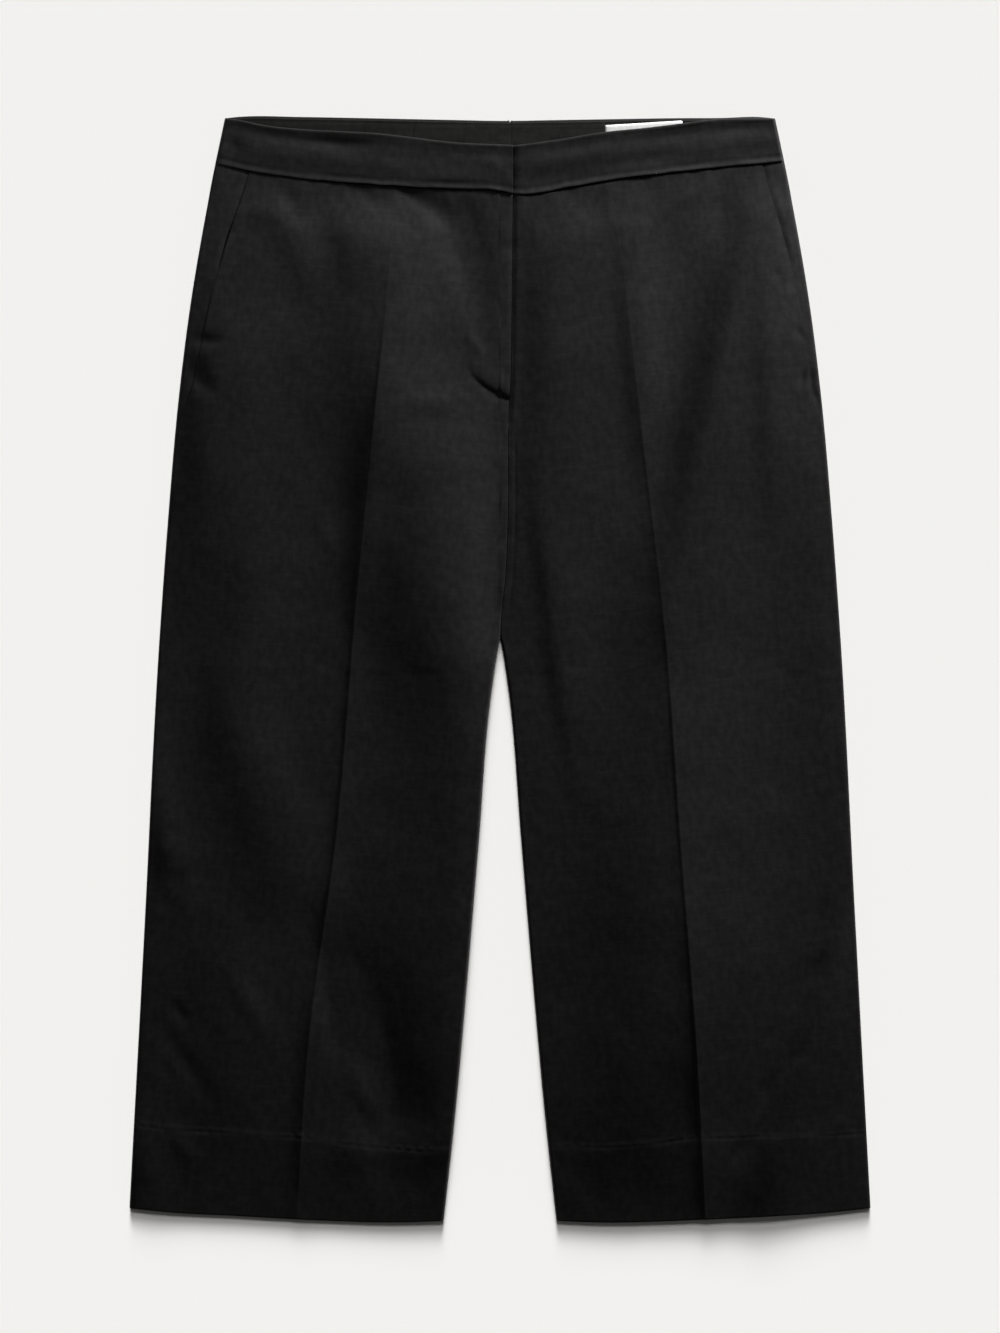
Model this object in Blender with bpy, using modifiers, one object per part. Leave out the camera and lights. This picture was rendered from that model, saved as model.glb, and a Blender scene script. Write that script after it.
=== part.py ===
"""Long shorts with wide legs, laid flat on their back with the front up.

+X is the wearer's left, +Y runs to the waist and +Z is up, off the surface they lie on.
The origin is under the middle of the garment. Every sheet of cloth is a grid of points,
worked out from the garment's sizes, that a Solidify modifier turns into a wall.
Tables and sizes are in millimetres, and MM scales them when a mesh is made.
"""

from typing import NamedTuple

import bpy
import numpy as np

MM = 0.001

# The wearer's sides, as signs of X.
LEFT = 1
RIGHT = -1

# Walls and the gap between pieces that are sewn or lie together.
CLOTH = 1.0
HEM_WALL = 1.7
FRONT_BAND_WALL = 1.6
BACK_BAND_WALL = 1.2
SEAM_GAP = 0.3

# Heights of the outer faces above the surface that the shorts lie on.
FRONT_FACE = 4.0
FRONT_BAND_FACE = 6.1
FACING_FACE = 2.5
LABEL_FACE = 3.8
FLY_SHIELD_FACE = 2.5

# Where a front and a back meet at a side, each turns a quarter round to the middle. The
# last strip of a turn leans a little, so its inner corner comes nearer to the other piece.
TURN_STEPS = 3
FULL_TURN = np.radians(90)
SEAM_TURN = np.radians(25)
RIM_LEAN = np.cos(FULL_TURN * (1 - 0.5 / TURN_STEPS))
LEG_TURN = (FRONT_FACE - SEAM_GAP) / 2 - CLOTH * RIM_LEAN
BAND_TURN = (FRONT_BAND_FACE - SEAM_GAP) / 2 - FRONT_BAND_WALL * RIM_LEAN

# Half widths of the flat garment: at the hem, at the band's seam and at the waist.
HEM_SIDE = 252.0
BAND_SEAM_SIDE = 193.5
WAIST_SIDE = 187.0

# The waistband, the hem, the pockets, the fly and the label.
BAND_HEIGHT = 33.0
BAND_ROWS = (0.0, 0.08, 0.5, 0.92, 1.0)
BAND_COLUMNS = 10
BAND_ROLL = 0.35
BAND_LAP_STEP = 0.5
BAND_LAP_REACH = 40.0
WAIST_CORNER = 375.6
WAIST_SAG = 2.1
HEM_DEPTH = 53.0
CROTCH_HEIGHT = 21.5
CROTCH_BLEND = 8.0
POCKET_FOOT = {RIGHT: 226.0, LEFT: 206.0}
POCKET_CORNER = 3.0
POCKET_LAP = 24.0
POCKET_LEVELS = (2.7, 2.8, 3.1, 3.7, FRONT_FACE)
POCKET_ROWS = 7
FLY_FOOT = 177.0
FLY_SHIELD_SIDES = (-27.0, 22.0)
FLY_SHIELD_FOOT = 168.0
FLY_SHIELD_BELOW_BAND = 1.0
FLY_STEP = 0.7
FLY_STEP_REACH = 14.0
LABEL_SIDES = (72.0, 122.0)
LABEL_FOOT = 347.0
LABEL_BELOW_EDGE = 4.0
FACING_BELOW_EDGE = 1.2
FACING_ABOVE_SEAM = 2.0
FACING_INSET = 5.0
FACING_JOINS = (-59.0, 7.4, 71.0)

# The tables' heights start this far above the middle of the finished length.
TABLE_ZERO = 0.7

# How the front rises off the back away from its edges.
LOFT = 1.2
EDGE_REACH = 16.0
BAND_RISE = 0.9
BAND_REACH = 38.0
POCKET_RISE = 0.6
POCKET_REACH = 30.0
HEM_SHARE = 0.5
HEM_REACH = 60.0
CREASE_HEIGHT = 2.0
CREASE_LEFT = 7.0
CREASE_RIGHT = 12.0

# Points across and up a panel's grid.
INNER_COLUMNS = 8
OUTER_COLUMNS = 8
CREASE_SHARE = 0.46
CROTCH_ROWS = CROTCH_HEIGHT + np.array([-CROTCH_BLEND, 0.0, CROTCH_BLEND])
ROW_CLEARANCE = 0.012


class Station(NamedTuple):
    """A point of an outline: a height up the garment and a distance from its middle."""

    height: float
    across: float


class Level(NamedTuple):
    """A point of a line that runs across the garment."""

    across: float
    height: float


class Fold(NamedTuple):
    """A soft ridge, or a trough where its height is below 0, along a line of stations."""

    name: str
    height: float
    left: float
    right: float
    fade: float
    line: tuple


SIDE_SEAM = (
    Station(377.0, 187.0),
    Station(322.0, 198.0),
    Station(246.0, 211.0),
    Station(184.0, 218.7),
    Station(103.0, 225.8),
    Station(21.0, 231.7),
    Station(-170.0, 241.6),
    Station(-365.0, 252.0),
)
INSEAM = (
    Station(CROTCH_HEIGHT, 0.5),
    Station(13.0, 2.0),
    Station(-13.0, 5.8),
    Station(-115.0, 14.4),
    Station(-217.0, 22.9),
    Station(-299.0, 30.3),
    Station(-377.0, 38.8),
)
FRONT_SEAM = (
    Station(CROTCH_HEIGHT, 0.0),
    Station(37.0, 0.8),
    Station(61.0, 3.4),
    Station(107.0, 5.4),
    Station(FLY_FOOT, 5.9),
    Station(195.0, 7.0),
    Station(240.0, 7.8),
    Station(330.0, 8.7),
    Station(380.0, 8.8),
)
BACK_SEAM = (
    Station(CROTCH_HEIGHT, 0.0),
    Station(200.0, 4.4),
    Station(380.0, 7.4),
)
HEM_LINE = (
    Level(38.0, -375.6),
    Level(62.0, -377.0),
    Level(147.0, -375.3),
    Level(184.0, -373.4),
    Level(217.0, -371.0),
    Level(253.0, -365.0),
)
BAND_SEAM = {
    RIGHT: (
        Level(-194.0, 344.6),
        Level(-169.0, 339.2),
        Level(-143.0, 335.5),
        Level(-117.0, 332.7),
        Level(-68.0, 329.3),
        Level(-30.0, 327.4),
        Level(-4.0, 326.6),
        Level(9.0, 324.0),
    ),
    LEFT: (
        Level(8.0, 323.8),
        Level(27.0, 324.8),
        Level(46.0, 328.5),
        Level(68.0, 332.3),
        Level(94.0, 336.0),
        Level(120.0, 339.0),
        Level(146.0, 342.0),
        Level(194.0, 346.2),
    ),
}
CREASE = {
    RIGHT: (
        Station(330.0, -72.0),
        Station(266.0, -76.0),
        Station(157.0, -88.0),
        Station(60.0, -98.0),
        Station(-115.0, -113.0),
        Station(-248.0, -131.0),
        Station(-377.0, -139.0),
    ),
    LEFT: (
        Station(330.0, 74.0),
        Station(284.0, 81.0),
        Station(149.0, 97.0),
        Station(18.0, 112.0),
        Station(-115.0, 121.0),
        Station(-251.0, 131.0),
        Station(-377.0, 138.0),
    ),
}
POCKET_OPENING = {
    RIGHT: (
        Station(POCKET_FOOT[RIGHT], -202.5),
        Station(264.0, -195.5),
        Station(297.0, -185.5),
        Station(325.0, -176.3),
        Station(341.0, -172.0),
    ),
    LEFT: (
        Station(POCKET_FOOT[LEFT], 208.5),
        Station(236.0, 206.0),
        Station(290.0, 194.0),
        Station(316.0, 187.0),
        Station(345.0, 179.0),
    ),
}
FOLDS = {
    RIGHT: (
        Fold("inner swell", 6.0, 34, 60, 70, (
            Station(325, -92), Station(252, -79), Station(184, -80), Station(116, -64),
            Station(49, -60), Station(-19, -44), Station(-150, -36),
        )),
        Fold("crease wedge", 3.0, 26, 14, 60, (
            Station(250, -84), Station(157, -89), Station(60, -99), Station(-30, -106),
        )),
        Fold("outer trough", -2.5, 40, 22, 60, (
            Station(240, -128), Station(116, -131), Station(0, -138), Station(-60, -142),
        )),
        Fold("outer swell", 4.0, 30, 60, 55, (
            Station(215, -186), Station(116, -203), Station(49, -197), Station(-70, -182),
        )),
        Fold("side dip", -3.0, 14, 16, 30, (
            Station(-25, -228), Station(-60, -214), Station(-135, -182),
        )),
        Fold("lower outer swell", 3.5, 34, 42, 60, (
            Station(-110, -165), Station(-223, -171), Station(-345, -190),
        )),
        Fold("inseam swell", 5.0, 52, 14, 70, (
            Station(-70, -34), Station(-150, -36), Station(-223, -42), Station(-350, -50),
        )),
        Fold("hem dip", -3.0, 30, 18, 40, (
            Station(-205, -96), Station(-260, -80), Station(-325, -58),
        )),
    ),
    LEFT: (
        Fold("fly swell", 4.0, 28, 55, 60, (
            Station(315, 38), Station(184, 41), Station(133, 44), Station(70, 52),
        )),
        Fold("hip fold", 4.5, 24, 50, 45, (
            Station(262, 166), Station(220, 151), Station(163, 141), Station(98, 126),
            Station(45, 118),
        )),
        Fold("side swell", 2.5, 25, 22, 50, (
            Station(300, 168), Station(116, 183),
        )),
        Fold("band pull", -2.5, 30, 16, 16, (
            Station(338, 151), Station(320, 144), Station(280, 128),
        )),
        Fold("inseam fold", 3.5, 12, 45, 55, (
            Station(140, 19), Station(78, 32), Station(13, 37), Station(-58, 61),
            Station(-150, 72),
        )),
        Fold("crease swell", 4.0, 38, 55, 60, (
            Station(100, 108), Station(20, 113), Station(-90, 120),
        )),
        Fold("lower crease swell", 4.5, 60, 80, 80, (
            Station(-70, 122), Station(-200, 130), Station(-330, 135),
        )),
        Fold("hem fold", 3.5, 30, 36, 40, (
            Station(-190, 100), Station(-250, 88), Station(-335, 72),
        )),
        Fold("outer hem fold", 3.0, 20, 26, 35, (
            Station(-185, 222), Station(-295, 184), Station(-330, 176),
        )),
    ),
}


def smooth_step(share):
    """Rise from 0 to 1 as the share does, level at both ends."""
    share = np.clip(share, 0.0, 1.0)
    return share * share * (3.0 - 2.0 * share)


def curve_through(where, points):
    """Read a smooth curve through (place, value) points: cubics that share their slopes."""
    table = np.array(sorted((point[0], point[1]) for point in points))
    place, value = table[:, 0], table[:, 1]
    slope = np.gradient(value, place)
    where = np.clip(where, place[0], place[-1])
    start = np.clip(np.searchsorted(place, where) - 1, 0, len(place) - 2)
    span = place[start + 1] - place[start]
    part = (where - place[start]) / span
    rest = 1.0 - part
    return (
        (1 + 2 * part) * rest ** 2 * value[start]
        + part * rest ** 2 * span * slope[start]
        + part ** 2 * (3 - 2 * part) * value[start + 1]
        - part ** 2 * rest * span * slope[start + 1]
    )


def raised_cosine(offset, left, right):
    """Fall from 1 on a line to 0 at the reach on each side of it."""
    share = np.clip(np.abs(offset) / np.where(offset < 0, left, right), 0.0, 1.0)
    return 0.5 + 0.5 * np.cos(np.pi * share)


def fold_relief(x, y, folds):
    """Add up the folds' heights, each fading out towards the two ends of its line."""
    relief = np.zeros_like(x)
    for fold in folds:
        top, bottom = fold.line[0].height, fold.line[-1].height
        ends = smooth_step((top - y) / fold.fade) * smooth_step((y - bottom) / fold.fade)
        line = curve_through(y, fold.line)
        relief += fold.height * ends * raised_cosine(x - line, fold.left, fold.right)
    return relief


def band_seam(x, side):
    """Height of the seam between a front and its half of the waistband."""
    return curve_through(x, BAND_SEAM[side])


def back_band_seam(x, side):
    """Height of the seam under the back waistband, level with the front's at the side."""
    corner = band_seam(side * BAND_SEAM_SIDE, side)
    middle = WAIST_CORNER - WAIST_SAG - BAND_HEIGHT
    return middle + (corner - middle) * (x / BAND_SEAM_SIDE) ** 2


def waist_edge(x):
    """Height of the back waistband's upper edge, which sags in the middle."""
    return WAIST_CORNER - WAIST_SAG * (1.0 - (x / WAIST_SIDE) ** 2)


def front_height(x, y, side):
    """Height of a front's outer face over the surface, from its edges, folds and crease."""
    from_side = curve_through(y, SIDE_SEAM) - np.abs(x)
    from_inseam = np.abs(x) - curve_through(y, INSEAM)
    above_crotch = smooth_step((y - CROTCH_HEIGHT + 20.0) / 50.0)
    inner_edge = np.maximum(smooth_step(from_inseam / EDGE_REACH), above_crotch)
    edges = smooth_step(from_side / EDGE_REACH) * inner_edge
    from_hem = y - curve_through(np.abs(x), HEM_LINE)
    hem = HEM_SHARE + (1.0 - HEM_SHARE) * smooth_step(from_hem / HEM_REACH)
    from_band = band_seam(x, side) - y
    band = smooth_step(from_band / BAND_REACH)
    crease_line = x - curve_through(y, CREASE[side])
    crease_share = np.clip(np.abs(crease_line) / np.where(
        crease_line < 0, CREASE_LEFT, CREASE_RIGHT), 0.0, 1.0)
    crease = CREASE_HEIGHT * (1.0 - crease_share) ** 1.5
    soft = np.maximum(LOFT + fold_relief(x, y, FOLDS[side]) + crease, 0.0)
    from_pocket = np.abs(x) - np.abs(curve_through(y, POCKET_OPENING[side])) + POCKET_REACH
    pocket = POCKET_RISE * smooth_step(from_pocket / POCKET_REACH) * smooth_step(
        (y - POCKET_FOOT[side] + 10.0) / 14.0)
    fly = 0.0
    if side == RIGHT:
        from_fly = curve_through(y, FRONT_SEAM) - x
        fly = FLY_STEP * (1.0 - smooth_step(from_fly / FLY_STEP_REACH)) * smooth_step(
            (y - FLY_FOOT) / 20.0)
    return (FRONT_FACE + soft * edges * hem * band + BAND_RISE * (1.0 - band)
            + pocket + fly)


def inner_edge(y, side, centre_seam):
    """Inner edge of a leg panel: its centre seam, and the inseam below the crotch."""
    seam = curve_through(y, centre_seam) + side * SEAM_GAP / 2
    inseam = side * curve_through(y, INSEAM)
    return np.where(y > CROTCH_HEIGHT, seam, inseam)


def inner_turn(y):
    """How far a leg panel's inner edge turns over: a quarter below the crotch."""
    below = smooth_step((CROTCH_HEIGHT + CROTCH_BLEND - y) / (2 * CROTCH_BLEND))
    return SEAM_TURN + (FULL_TURN - SEAM_TURN) * below


def turned_columns(edge, inward, turn, radius):
    """Columns from an edge to the flat cloth: places across, and drops, round the turn.

    The last column is where the cloth is flat. edge and turn hold a value for each row.
    """
    angle = turn[:, None] * np.linspace(1.0, 0.0, TURN_STEPS + 1)[None, :]
    across = edge[:, None] + inward * radius * (np.sin(turn)[:, None] - np.sin(angle))
    return across, radius * (1.0 - np.cos(angle))


def spread_columns(shares, start, middle, end):
    """Places across for shares of the way from start to end, with a column on middle."""
    low = shares / CREASE_SHARE
    high = (shares - CREASE_SHARE) / (1.0 - CREASE_SHARE)
    inner = start + (middle - start) * low
    outer = middle + (end - middle) * high
    return np.where(shares <= CREASE_SHARE, inner, outer)


def panel_grid(side, outer_heights, shares, head, edges):
    """Lay out a leg panel's grid from its inner edge to its side seam.

    outer_heights are the rows' heights at the side, and rows through the crotch are
    added to them. shares are the columns' shares of the way across. head gives the upper
    seam's height at a place across. edges holds two pairs of functions of the height,
    for the inner and the outer edge: a place across and a turn. Returns the places, the
    heights and the drops round the turns.
    """
    (inner, turn_in), (outer, turn_out) = edges
    crease = CREASE[side]
    foot_y, head_y = outer_heights[[0]], outer_heights[[-1]]
    foot_x = spread_columns(shares, inner(foot_y), curve_through(foot_y, crease), outer(foot_y))
    head_x = spread_columns(shares, inner(head_y), curve_through(head_y, crease), outer(head_y))
    hem_line = curve_through(np.abs(foot_x), HEM_LINE)
    head_line = head(head_x)
    side_rows = (outer_heights - hem_line[-1]) / (head_line[-1] - hem_line[-1])
    crotch_rows = (CROTCH_ROWS - hem_line[0]) / (head_line[0] - hem_line[0])
    far = np.abs(side_rows[:, None] - crotch_rows[None, :]).min(axis=1) > ROW_CLEARANCE
    rows = np.sort(np.concatenate([side_rows[far], crotch_rows]))
    y = hem_line[None, :] + rows[:, None] * (head_line - hem_line)[None, :]
    in_x, in_drop = turned_columns(inner(y[:, 0]), side, turn_in(y[:, 0]), LEG_TURN)
    out_x, out_drop = turned_columns(outer(y[:, -1]), -side, turn_out(y[:, -1]), LEG_TURN)
    flat_x = spread_columns(
        shares[None, :], in_x[:, -1:], curve_through(y, crease), out_x[:, -1:])
    x = np.hstack([in_x[:, :-1], flat_x, out_x[:, -2::-1]])
    drop = np.hstack([in_drop[:, :-1], np.zeros_like(flat_x), out_drop[:, -2::-1]])
    y = np.hstack([
        np.repeat(y[:, :1], TURN_STEPS, axis=1), y, np.repeat(y[:, -1:], TURN_STEPS, axis=1),
    ])
    return x, y, drop


def column_shares(inner, outer):
    """Shares across a panel, with one column on the crease."""
    return np.concatenate([
        np.linspace(0.0, CREASE_SHARE, inner),
        np.linspace(CREASE_SHARE, 1.0, outer)[1:],
    ])


def front_outer_edge(y, side):
    """Outer edge of a front: its side seam, and the pocket opening above the foot."""
    seam = curve_through(y, SIDE_SEAM)
    opening = np.abs(curve_through(y, POCKET_OPENING[side]))
    inset = (seam - opening) * smooth_step((y - POCKET_FOOT[side] + POCKET_CORNER) / POCKET_CORNER)
    return side * (seam - inset)


def front_panel(side):
    """Grid of a front's outer face and the wall's share of the hem's wall at each point."""
    shares = column_shares(INNER_COLUMNS, OUTER_COLUMNS)
    hem_corner = curve_through(HEM_SIDE, HEM_LINE)
    mouth_top = np.abs(POCKET_OPENING[side][-1].across)
    seam_corner = band_seam(side * mouth_top, side) - SEAM_GAP / 2
    outer_heights = np.concatenate([
        hem_corner + np.array([0.0, 18.0, 36.0]),
        np.linspace(hem_corner + HEM_DEPTH, POCKET_FOOT[side] - POCKET_CORNER, 21),
        np.linspace(POCKET_FOOT[side], seam_corner, 6),
    ])

    def head(x):
        return band_seam(x, side) - SEAM_GAP / 2

    def outer_turn(y):
        open_edge = smooth_step((y - POCKET_FOOT[side] + POCKET_CORNER) / POCKET_CORNER)
        return FULL_TURN + (SEAM_TURN - FULL_TURN) * open_edge

    x, y, drop = panel_grid(side, outer_heights, shares, head, (
        (lambda v: inner_edge(v, side, FRONT_SEAM), inner_turn),
        (lambda v: front_outer_edge(v, side), outer_turn),
    ))
    z = front_height(x, y, side) - drop
    return np.dstack([x, y, z]), hem_wall_share(x, y, drop)


def hem_wall_share(x, y, drop):
    """Share of the hem's wall: all of it in the turned-up hem, less above and at the sides."""
    above = y - curve_through(np.abs(x), HEM_LINE)
    in_hem = (above < HEM_DEPTH + 1.0) & (drop == 0.0)
    return np.where(in_hem, 1.0, CLOTH / HEM_WALL)


def back_panel(side):
    """Grid of a back's outer face, flat on the surface, and its share of the hem's wall."""
    hem_corner = curve_through(HEM_SIDE, HEM_LINE)
    seam_corner = back_band_seam(side * BAND_SEAM_SIDE, side) - SEAM_GAP / 2
    outer_heights = np.concatenate([
        [hem_corner], np.linspace(hem_corner + HEM_DEPTH, seam_corner, 14),
    ])

    def head(x):
        return back_band_seam(x, side) - SEAM_GAP / 2

    def full_turn(y):
        return np.full_like(y, FULL_TURN)

    x, y, drop = panel_grid(side, outer_heights, column_shares(4, 4), head, (
        (lambda v: inner_edge(v, side, BACK_SEAM), inner_turn),
        (lambda v: side * curve_through(v, SIDE_SEAM), full_turn),
    ))
    return np.dstack([x, y, drop]), hem_wall_share(x, y, drop)


def band_strip(side, low, high, start, face, up):
    """Grid of half a waistband between two lines, with its end turned at the side.

    low and high are functions of the place across, and start is the end at the middle.
    """
    shares = np.linspace(0.0, 1.0, BAND_COLUMNS)
    rise = np.array(BAND_ROWS)
    corner = side * (BAND_SEAM_SIDE + (WAIST_SIDE - BAND_SEAM_SIDE) * rise)
    y_end = low(corner) + (high(corner) - low(corner)) * rise
    edge = side * curve_through(y_end, SIDE_SEAM)
    turn = np.full(len(rise), FULL_TURN)
    out_x, out_drop = turned_columns(edge, -side, turn, BAND_TURN)
    flat_x = start + (out_x[:, -1:] - start) * shares[None, :]
    x = np.hstack([flat_x, out_x[:, -2::-1]])
    drop = np.hstack([np.zeros_like(flat_x), out_drop[:, -2::-1]])
    y = low(x) + (high(x) - low(x)) * rise[:, None]
    if up:
        roll = np.where((rise == 0.0) | (rise == 1.0), BAND_ROLL, 0.0)[:, None]
        return np.dstack([x, y, face - drop - roll])
    return np.dstack([x, y, face + drop])


def front_band(side):
    """Half of the front waistband. The wearer's right half laps over the left."""
    lift = BAND_LAP_STEP if side == RIGHT else 0.0
    start = curve_through(WAIST_CORNER, FRONT_SEAM) + side * SEAM_GAP / 2

    def low(x):
        return band_seam(x, side) + SEAM_GAP / 2

    def high(x):
        edge = band_seam(x, side) + BAND_HEIGHT
        return np.minimum(edge, waist_edge(x))

    grid = band_strip(side, low, high, start, FRONT_BAND_FACE, True)
    near_fly = 1.0 - smooth_step(np.abs(grid[:, :, 0] - start) / BAND_LAP_REACH)
    grid[:, :, 2] += lift * near_fly
    return grid


def back_band(side):
    """Half of the back waistband, flat on the surface, with a seam at the centre back."""
    start = curve_through(WAIST_CORNER, BACK_SEAM) + side * SEAM_GAP / 2

    def low(x):
        return back_band_seam(x, side) + SEAM_GAP / 2

    return band_strip(side, low, waist_edge, start, 0.0, False)


def facing_strip(start, end):
    """A flat piece of the facing that lines the back waistband."""
    x = np.repeat(np.linspace(start, end, 5)[None, :], 3, axis=0)
    side = LEFT if start + end > 0 else RIGHT
    low = back_band_seam(x, side) + FACING_ABOVE_SEAM
    high = waist_edge(x) - FACING_BELOW_EDGE
    y = low + (high - low) * np.linspace(0.0, 1.0, 3)[:, None]
    return np.dstack([x, y, np.full_like(x, FACING_FACE)])


def pocket_piece(side):
    """The hip piece that shows behind a pocket opening and goes on under the front."""
    top_y = band_seam(side * BAND_SEAM_SIDE, side) - SEAM_GAP
    foot = POCKET_FOOT[side] + SEAM_GAP
    share = np.linspace(0.0, 1.0, POCKET_ROWS)
    y_side = foot + (top_y - foot) * share
    edge = side * curve_through(y_side, SIDE_SEAM)
    out_x, out_drop = turned_columns(edge, -side, np.full(len(share), FULL_TURN), LEG_TURN)
    opening = curve_through(y_side, POCKET_OPENING[side])
    lap = (opening - side * POCKET_LAP)[:, None]
    mouth = opening[:, None]
    flat_x = np.hstack([lap, (lap + mouth) / 2, mouth, (mouth + out_x[:, -1:]) / 2,
                        out_x[:, -1:]])
    flat_z = np.repeat(np.array(POCKET_LEVELS)[None, :], POCKET_ROWS, axis=0)
    x = np.hstack([flat_x, out_x[:, -2::-1]])
    z = np.hstack([flat_z, FRONT_FACE - out_drop[:, -2::-1]])
    top = band_seam(x, side) - SEAM_GAP
    y = foot + (top - foot) * share[:, None]
    return np.dstack([x, y, z])


def flat_strip(sides, foot, head, face):
    """A flat strip between two sides, from its foot to a line that head gives."""
    x = np.repeat(np.linspace(sides[0], sides[1], 5)[None, :], 3, axis=0)
    y = foot + (head(x) - foot) * np.linspace(0.0, 1.0, 3)[:, None]
    return np.dstack([x, y, np.full_like(x, face)])


def fly_shield_head(x):
    """Height of the fly shield's upper edge, under both halves' waistband seam."""
    fly_line = FRONT_SEAM[-1].across
    seam = np.where(x < fly_line, band_seam(x, RIGHT), band_seam(x, LEFT))
    return seam - FLY_SHIELD_BELOW_BAND


def label_head(x):
    """Height of the label's upper edge, a little below the back waistband's edge."""
    return waist_edge(x) - LABEL_BELOW_EDGE


def cloth_material(name, colour, roughness):
    """A plain material for one kind of cloth."""
    material = bpy.data.materials.new(name)
    material.use_nodes = True
    shader = material.node_tree.nodes["Principled BSDF"]
    shader.inputs["Base Color"].default_value = (*colour, 1.0)
    shader.inputs["Roughness"].default_value = roughness
    shader.inputs["Metallic"].default_value = 0.0
    material.diffuse_color = (*colour, 1.0)
    return material


def faces_of_grid(grid, face_up):
    """Quads of a grid, ordered so that their normals point up or down."""
    rows, columns = grid.shape[:2]
    index = np.arange(rows * columns).reshape(rows, columns)
    quads = np.stack([
        index[:-1, :-1], index[:-1, 1:], index[1:, 1:], index[1:, :-1],
    ], axis=-1).reshape(-1, 4)
    along = grid[0, columns // 2] - grid[0, columns // 2 - 1]
    points_up = along[0] > 0
    return quads if points_up == face_up else quads[:, ::-1]


def make_sheet(name, grid, wall, face_up, material, collection, wall_share=None):
    """Make a named sheet of cloth from its outer face, with a wall on its inner side."""
    mesh = bpy.data.meshes.new(name)
    points = (grid.reshape(-1, 3) + (0.0, TABLE_ZERO, 0.0)) * MM
    mesh.from_pydata(points.tolist(), [],
                     faces_of_grid(grid, face_up).tolist())
    mesh.materials.append(material)
    mesh.shade_smooth()
    piece = bpy.data.objects.new(name, mesh)
    collection.objects.link(piece)
    solidify = piece.modifiers.new("Wall", "SOLIDIFY")
    solidify.thickness = wall * MM
    solidify.offset = -1.0
    if wall_share is not None:
        group = piece.vertex_groups.new(name="wall")
        for index, share in enumerate(wall_share.ravel()):
            group.add([index], float(share), "REPLACE")
        solidify.vertex_group = "wall"
    return piece


def main():
    """Build every piece of the shorts."""
    for leftover in list(bpy.data.objects):
        bpy.data.objects.remove(leftover, do_unlink=True)
    shorts = bpy.data.collections.new("long_shorts")
    bpy.context.scene.collection.children.link(shorts)

    outer = cloth_material("black linen", (0.016, 0.016, 0.016), 0.75)
    facing = cloth_material("waist facing", (0.022, 0.020, 0.017), 0.8)
    label = cloth_material("label tape", (0.75, 0.75, 0.73), 0.6)

    for side, word in ((LEFT, "left"), (RIGHT, "right")):
        grid, share = front_panel(side)
        make_sheet(f"front_{word}", grid, HEM_WALL, True, outer, shorts, share)
        grid, share = back_panel(side)
        make_sheet(f"back_{word}", grid, HEM_WALL, False, outer, shorts, share)
        make_sheet(f"pocket_{word}", pocket_piece(side), CLOTH, True, outer, shorts)
        make_sheet(f"waistband_front_{word}", front_band(side), FRONT_BAND_WALL, True,
                   outer, shorts)
        make_sheet(f"waistband_back_{word}", back_band(side), BACK_BAND_WALL, False,
                   outer, shorts)

    end = WAIST_SIDE - FACING_INSET
    joins = FACING_JOINS
    gap = SEAM_GAP / 2
    for name, start, stop in (
        ("facing_side_right", -end, joins[0] - gap),
        ("facing_back_right", joins[0] + gap, joins[1] - gap),
        ("facing_back_left", joins[1] + gap, joins[2] - gap),
        ("facing_side_left", joins[2] + gap, end),
    ):
        make_sheet(name, facing_strip(start, stop), CLOTH, True, facing, shorts)

    shield = flat_strip(FLY_SHIELD_SIDES, FLY_SHIELD_FOOT, fly_shield_head, FLY_SHIELD_FACE)
    make_sheet("fly_shield", shield, CLOTH, True, outer, shorts)
    tape = flat_strip(LABEL_SIDES, LABEL_FOOT, label_head, LABEL_FACE)
    make_sheet("label", tape, CLOTH, True, label, shorts)


main()
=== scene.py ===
"""The looks of long shorts with wide creased legs, laid flat on their back with the front up.

+X is the wearer's left, +Y runs to the waist and +Z is up, off the surface they lie on. Tables
and sizes are in millimetres, and MM scales them when a mesh is made. Every piece of cloth is a
grid of points of its outer face: rows run up the garment or round a folded edge, and columns
run from the middle of the garment to its side.
"""

import logging
from collections.abc import Callable, Sequence
from dataclasses import dataclass
from enum import Enum
from typing import NamedTuple

import bpy
import numpy as np
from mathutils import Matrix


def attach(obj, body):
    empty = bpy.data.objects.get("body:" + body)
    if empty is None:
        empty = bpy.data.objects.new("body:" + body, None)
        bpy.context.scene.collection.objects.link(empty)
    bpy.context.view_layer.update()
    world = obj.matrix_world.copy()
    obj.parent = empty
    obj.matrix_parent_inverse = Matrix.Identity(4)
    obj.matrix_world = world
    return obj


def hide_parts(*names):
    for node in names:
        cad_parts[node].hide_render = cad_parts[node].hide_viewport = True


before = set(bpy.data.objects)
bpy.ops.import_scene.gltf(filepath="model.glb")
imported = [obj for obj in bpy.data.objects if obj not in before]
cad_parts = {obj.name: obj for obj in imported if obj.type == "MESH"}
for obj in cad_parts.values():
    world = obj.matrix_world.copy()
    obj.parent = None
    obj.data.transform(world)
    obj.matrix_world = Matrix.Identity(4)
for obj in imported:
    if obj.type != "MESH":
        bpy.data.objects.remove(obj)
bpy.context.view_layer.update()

LOG = logging.getLogger("long_shorts")
MM = 0.001
TINY = 1e-9

# A grid or a row of numbers, what gives a value at each place, and one value or many.
Array = np.ndarray
Line = Callable[[Array], Array]
Values = float | Array

# Heights of the pieces' outer faces above the surface, and the walls of the cloth.
FRONT_FACE = 4.0
BAND_FACE = 5.5
FACING_FACE = 2.6
LABEL_FACE = 3.1
SHIELD_FACE = 2.5
CLOTH = 0.6
TAPE = 0.35
SEAM_GAP = 0.1

# The pieces' radii where they turn to meet at the sides, and where an edge is folded.
LEG_TURN = 1.8
BAND_TURN = 2.6
FOLD_RADIUS = 0.75
QUARTER = np.pi / 2

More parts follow.
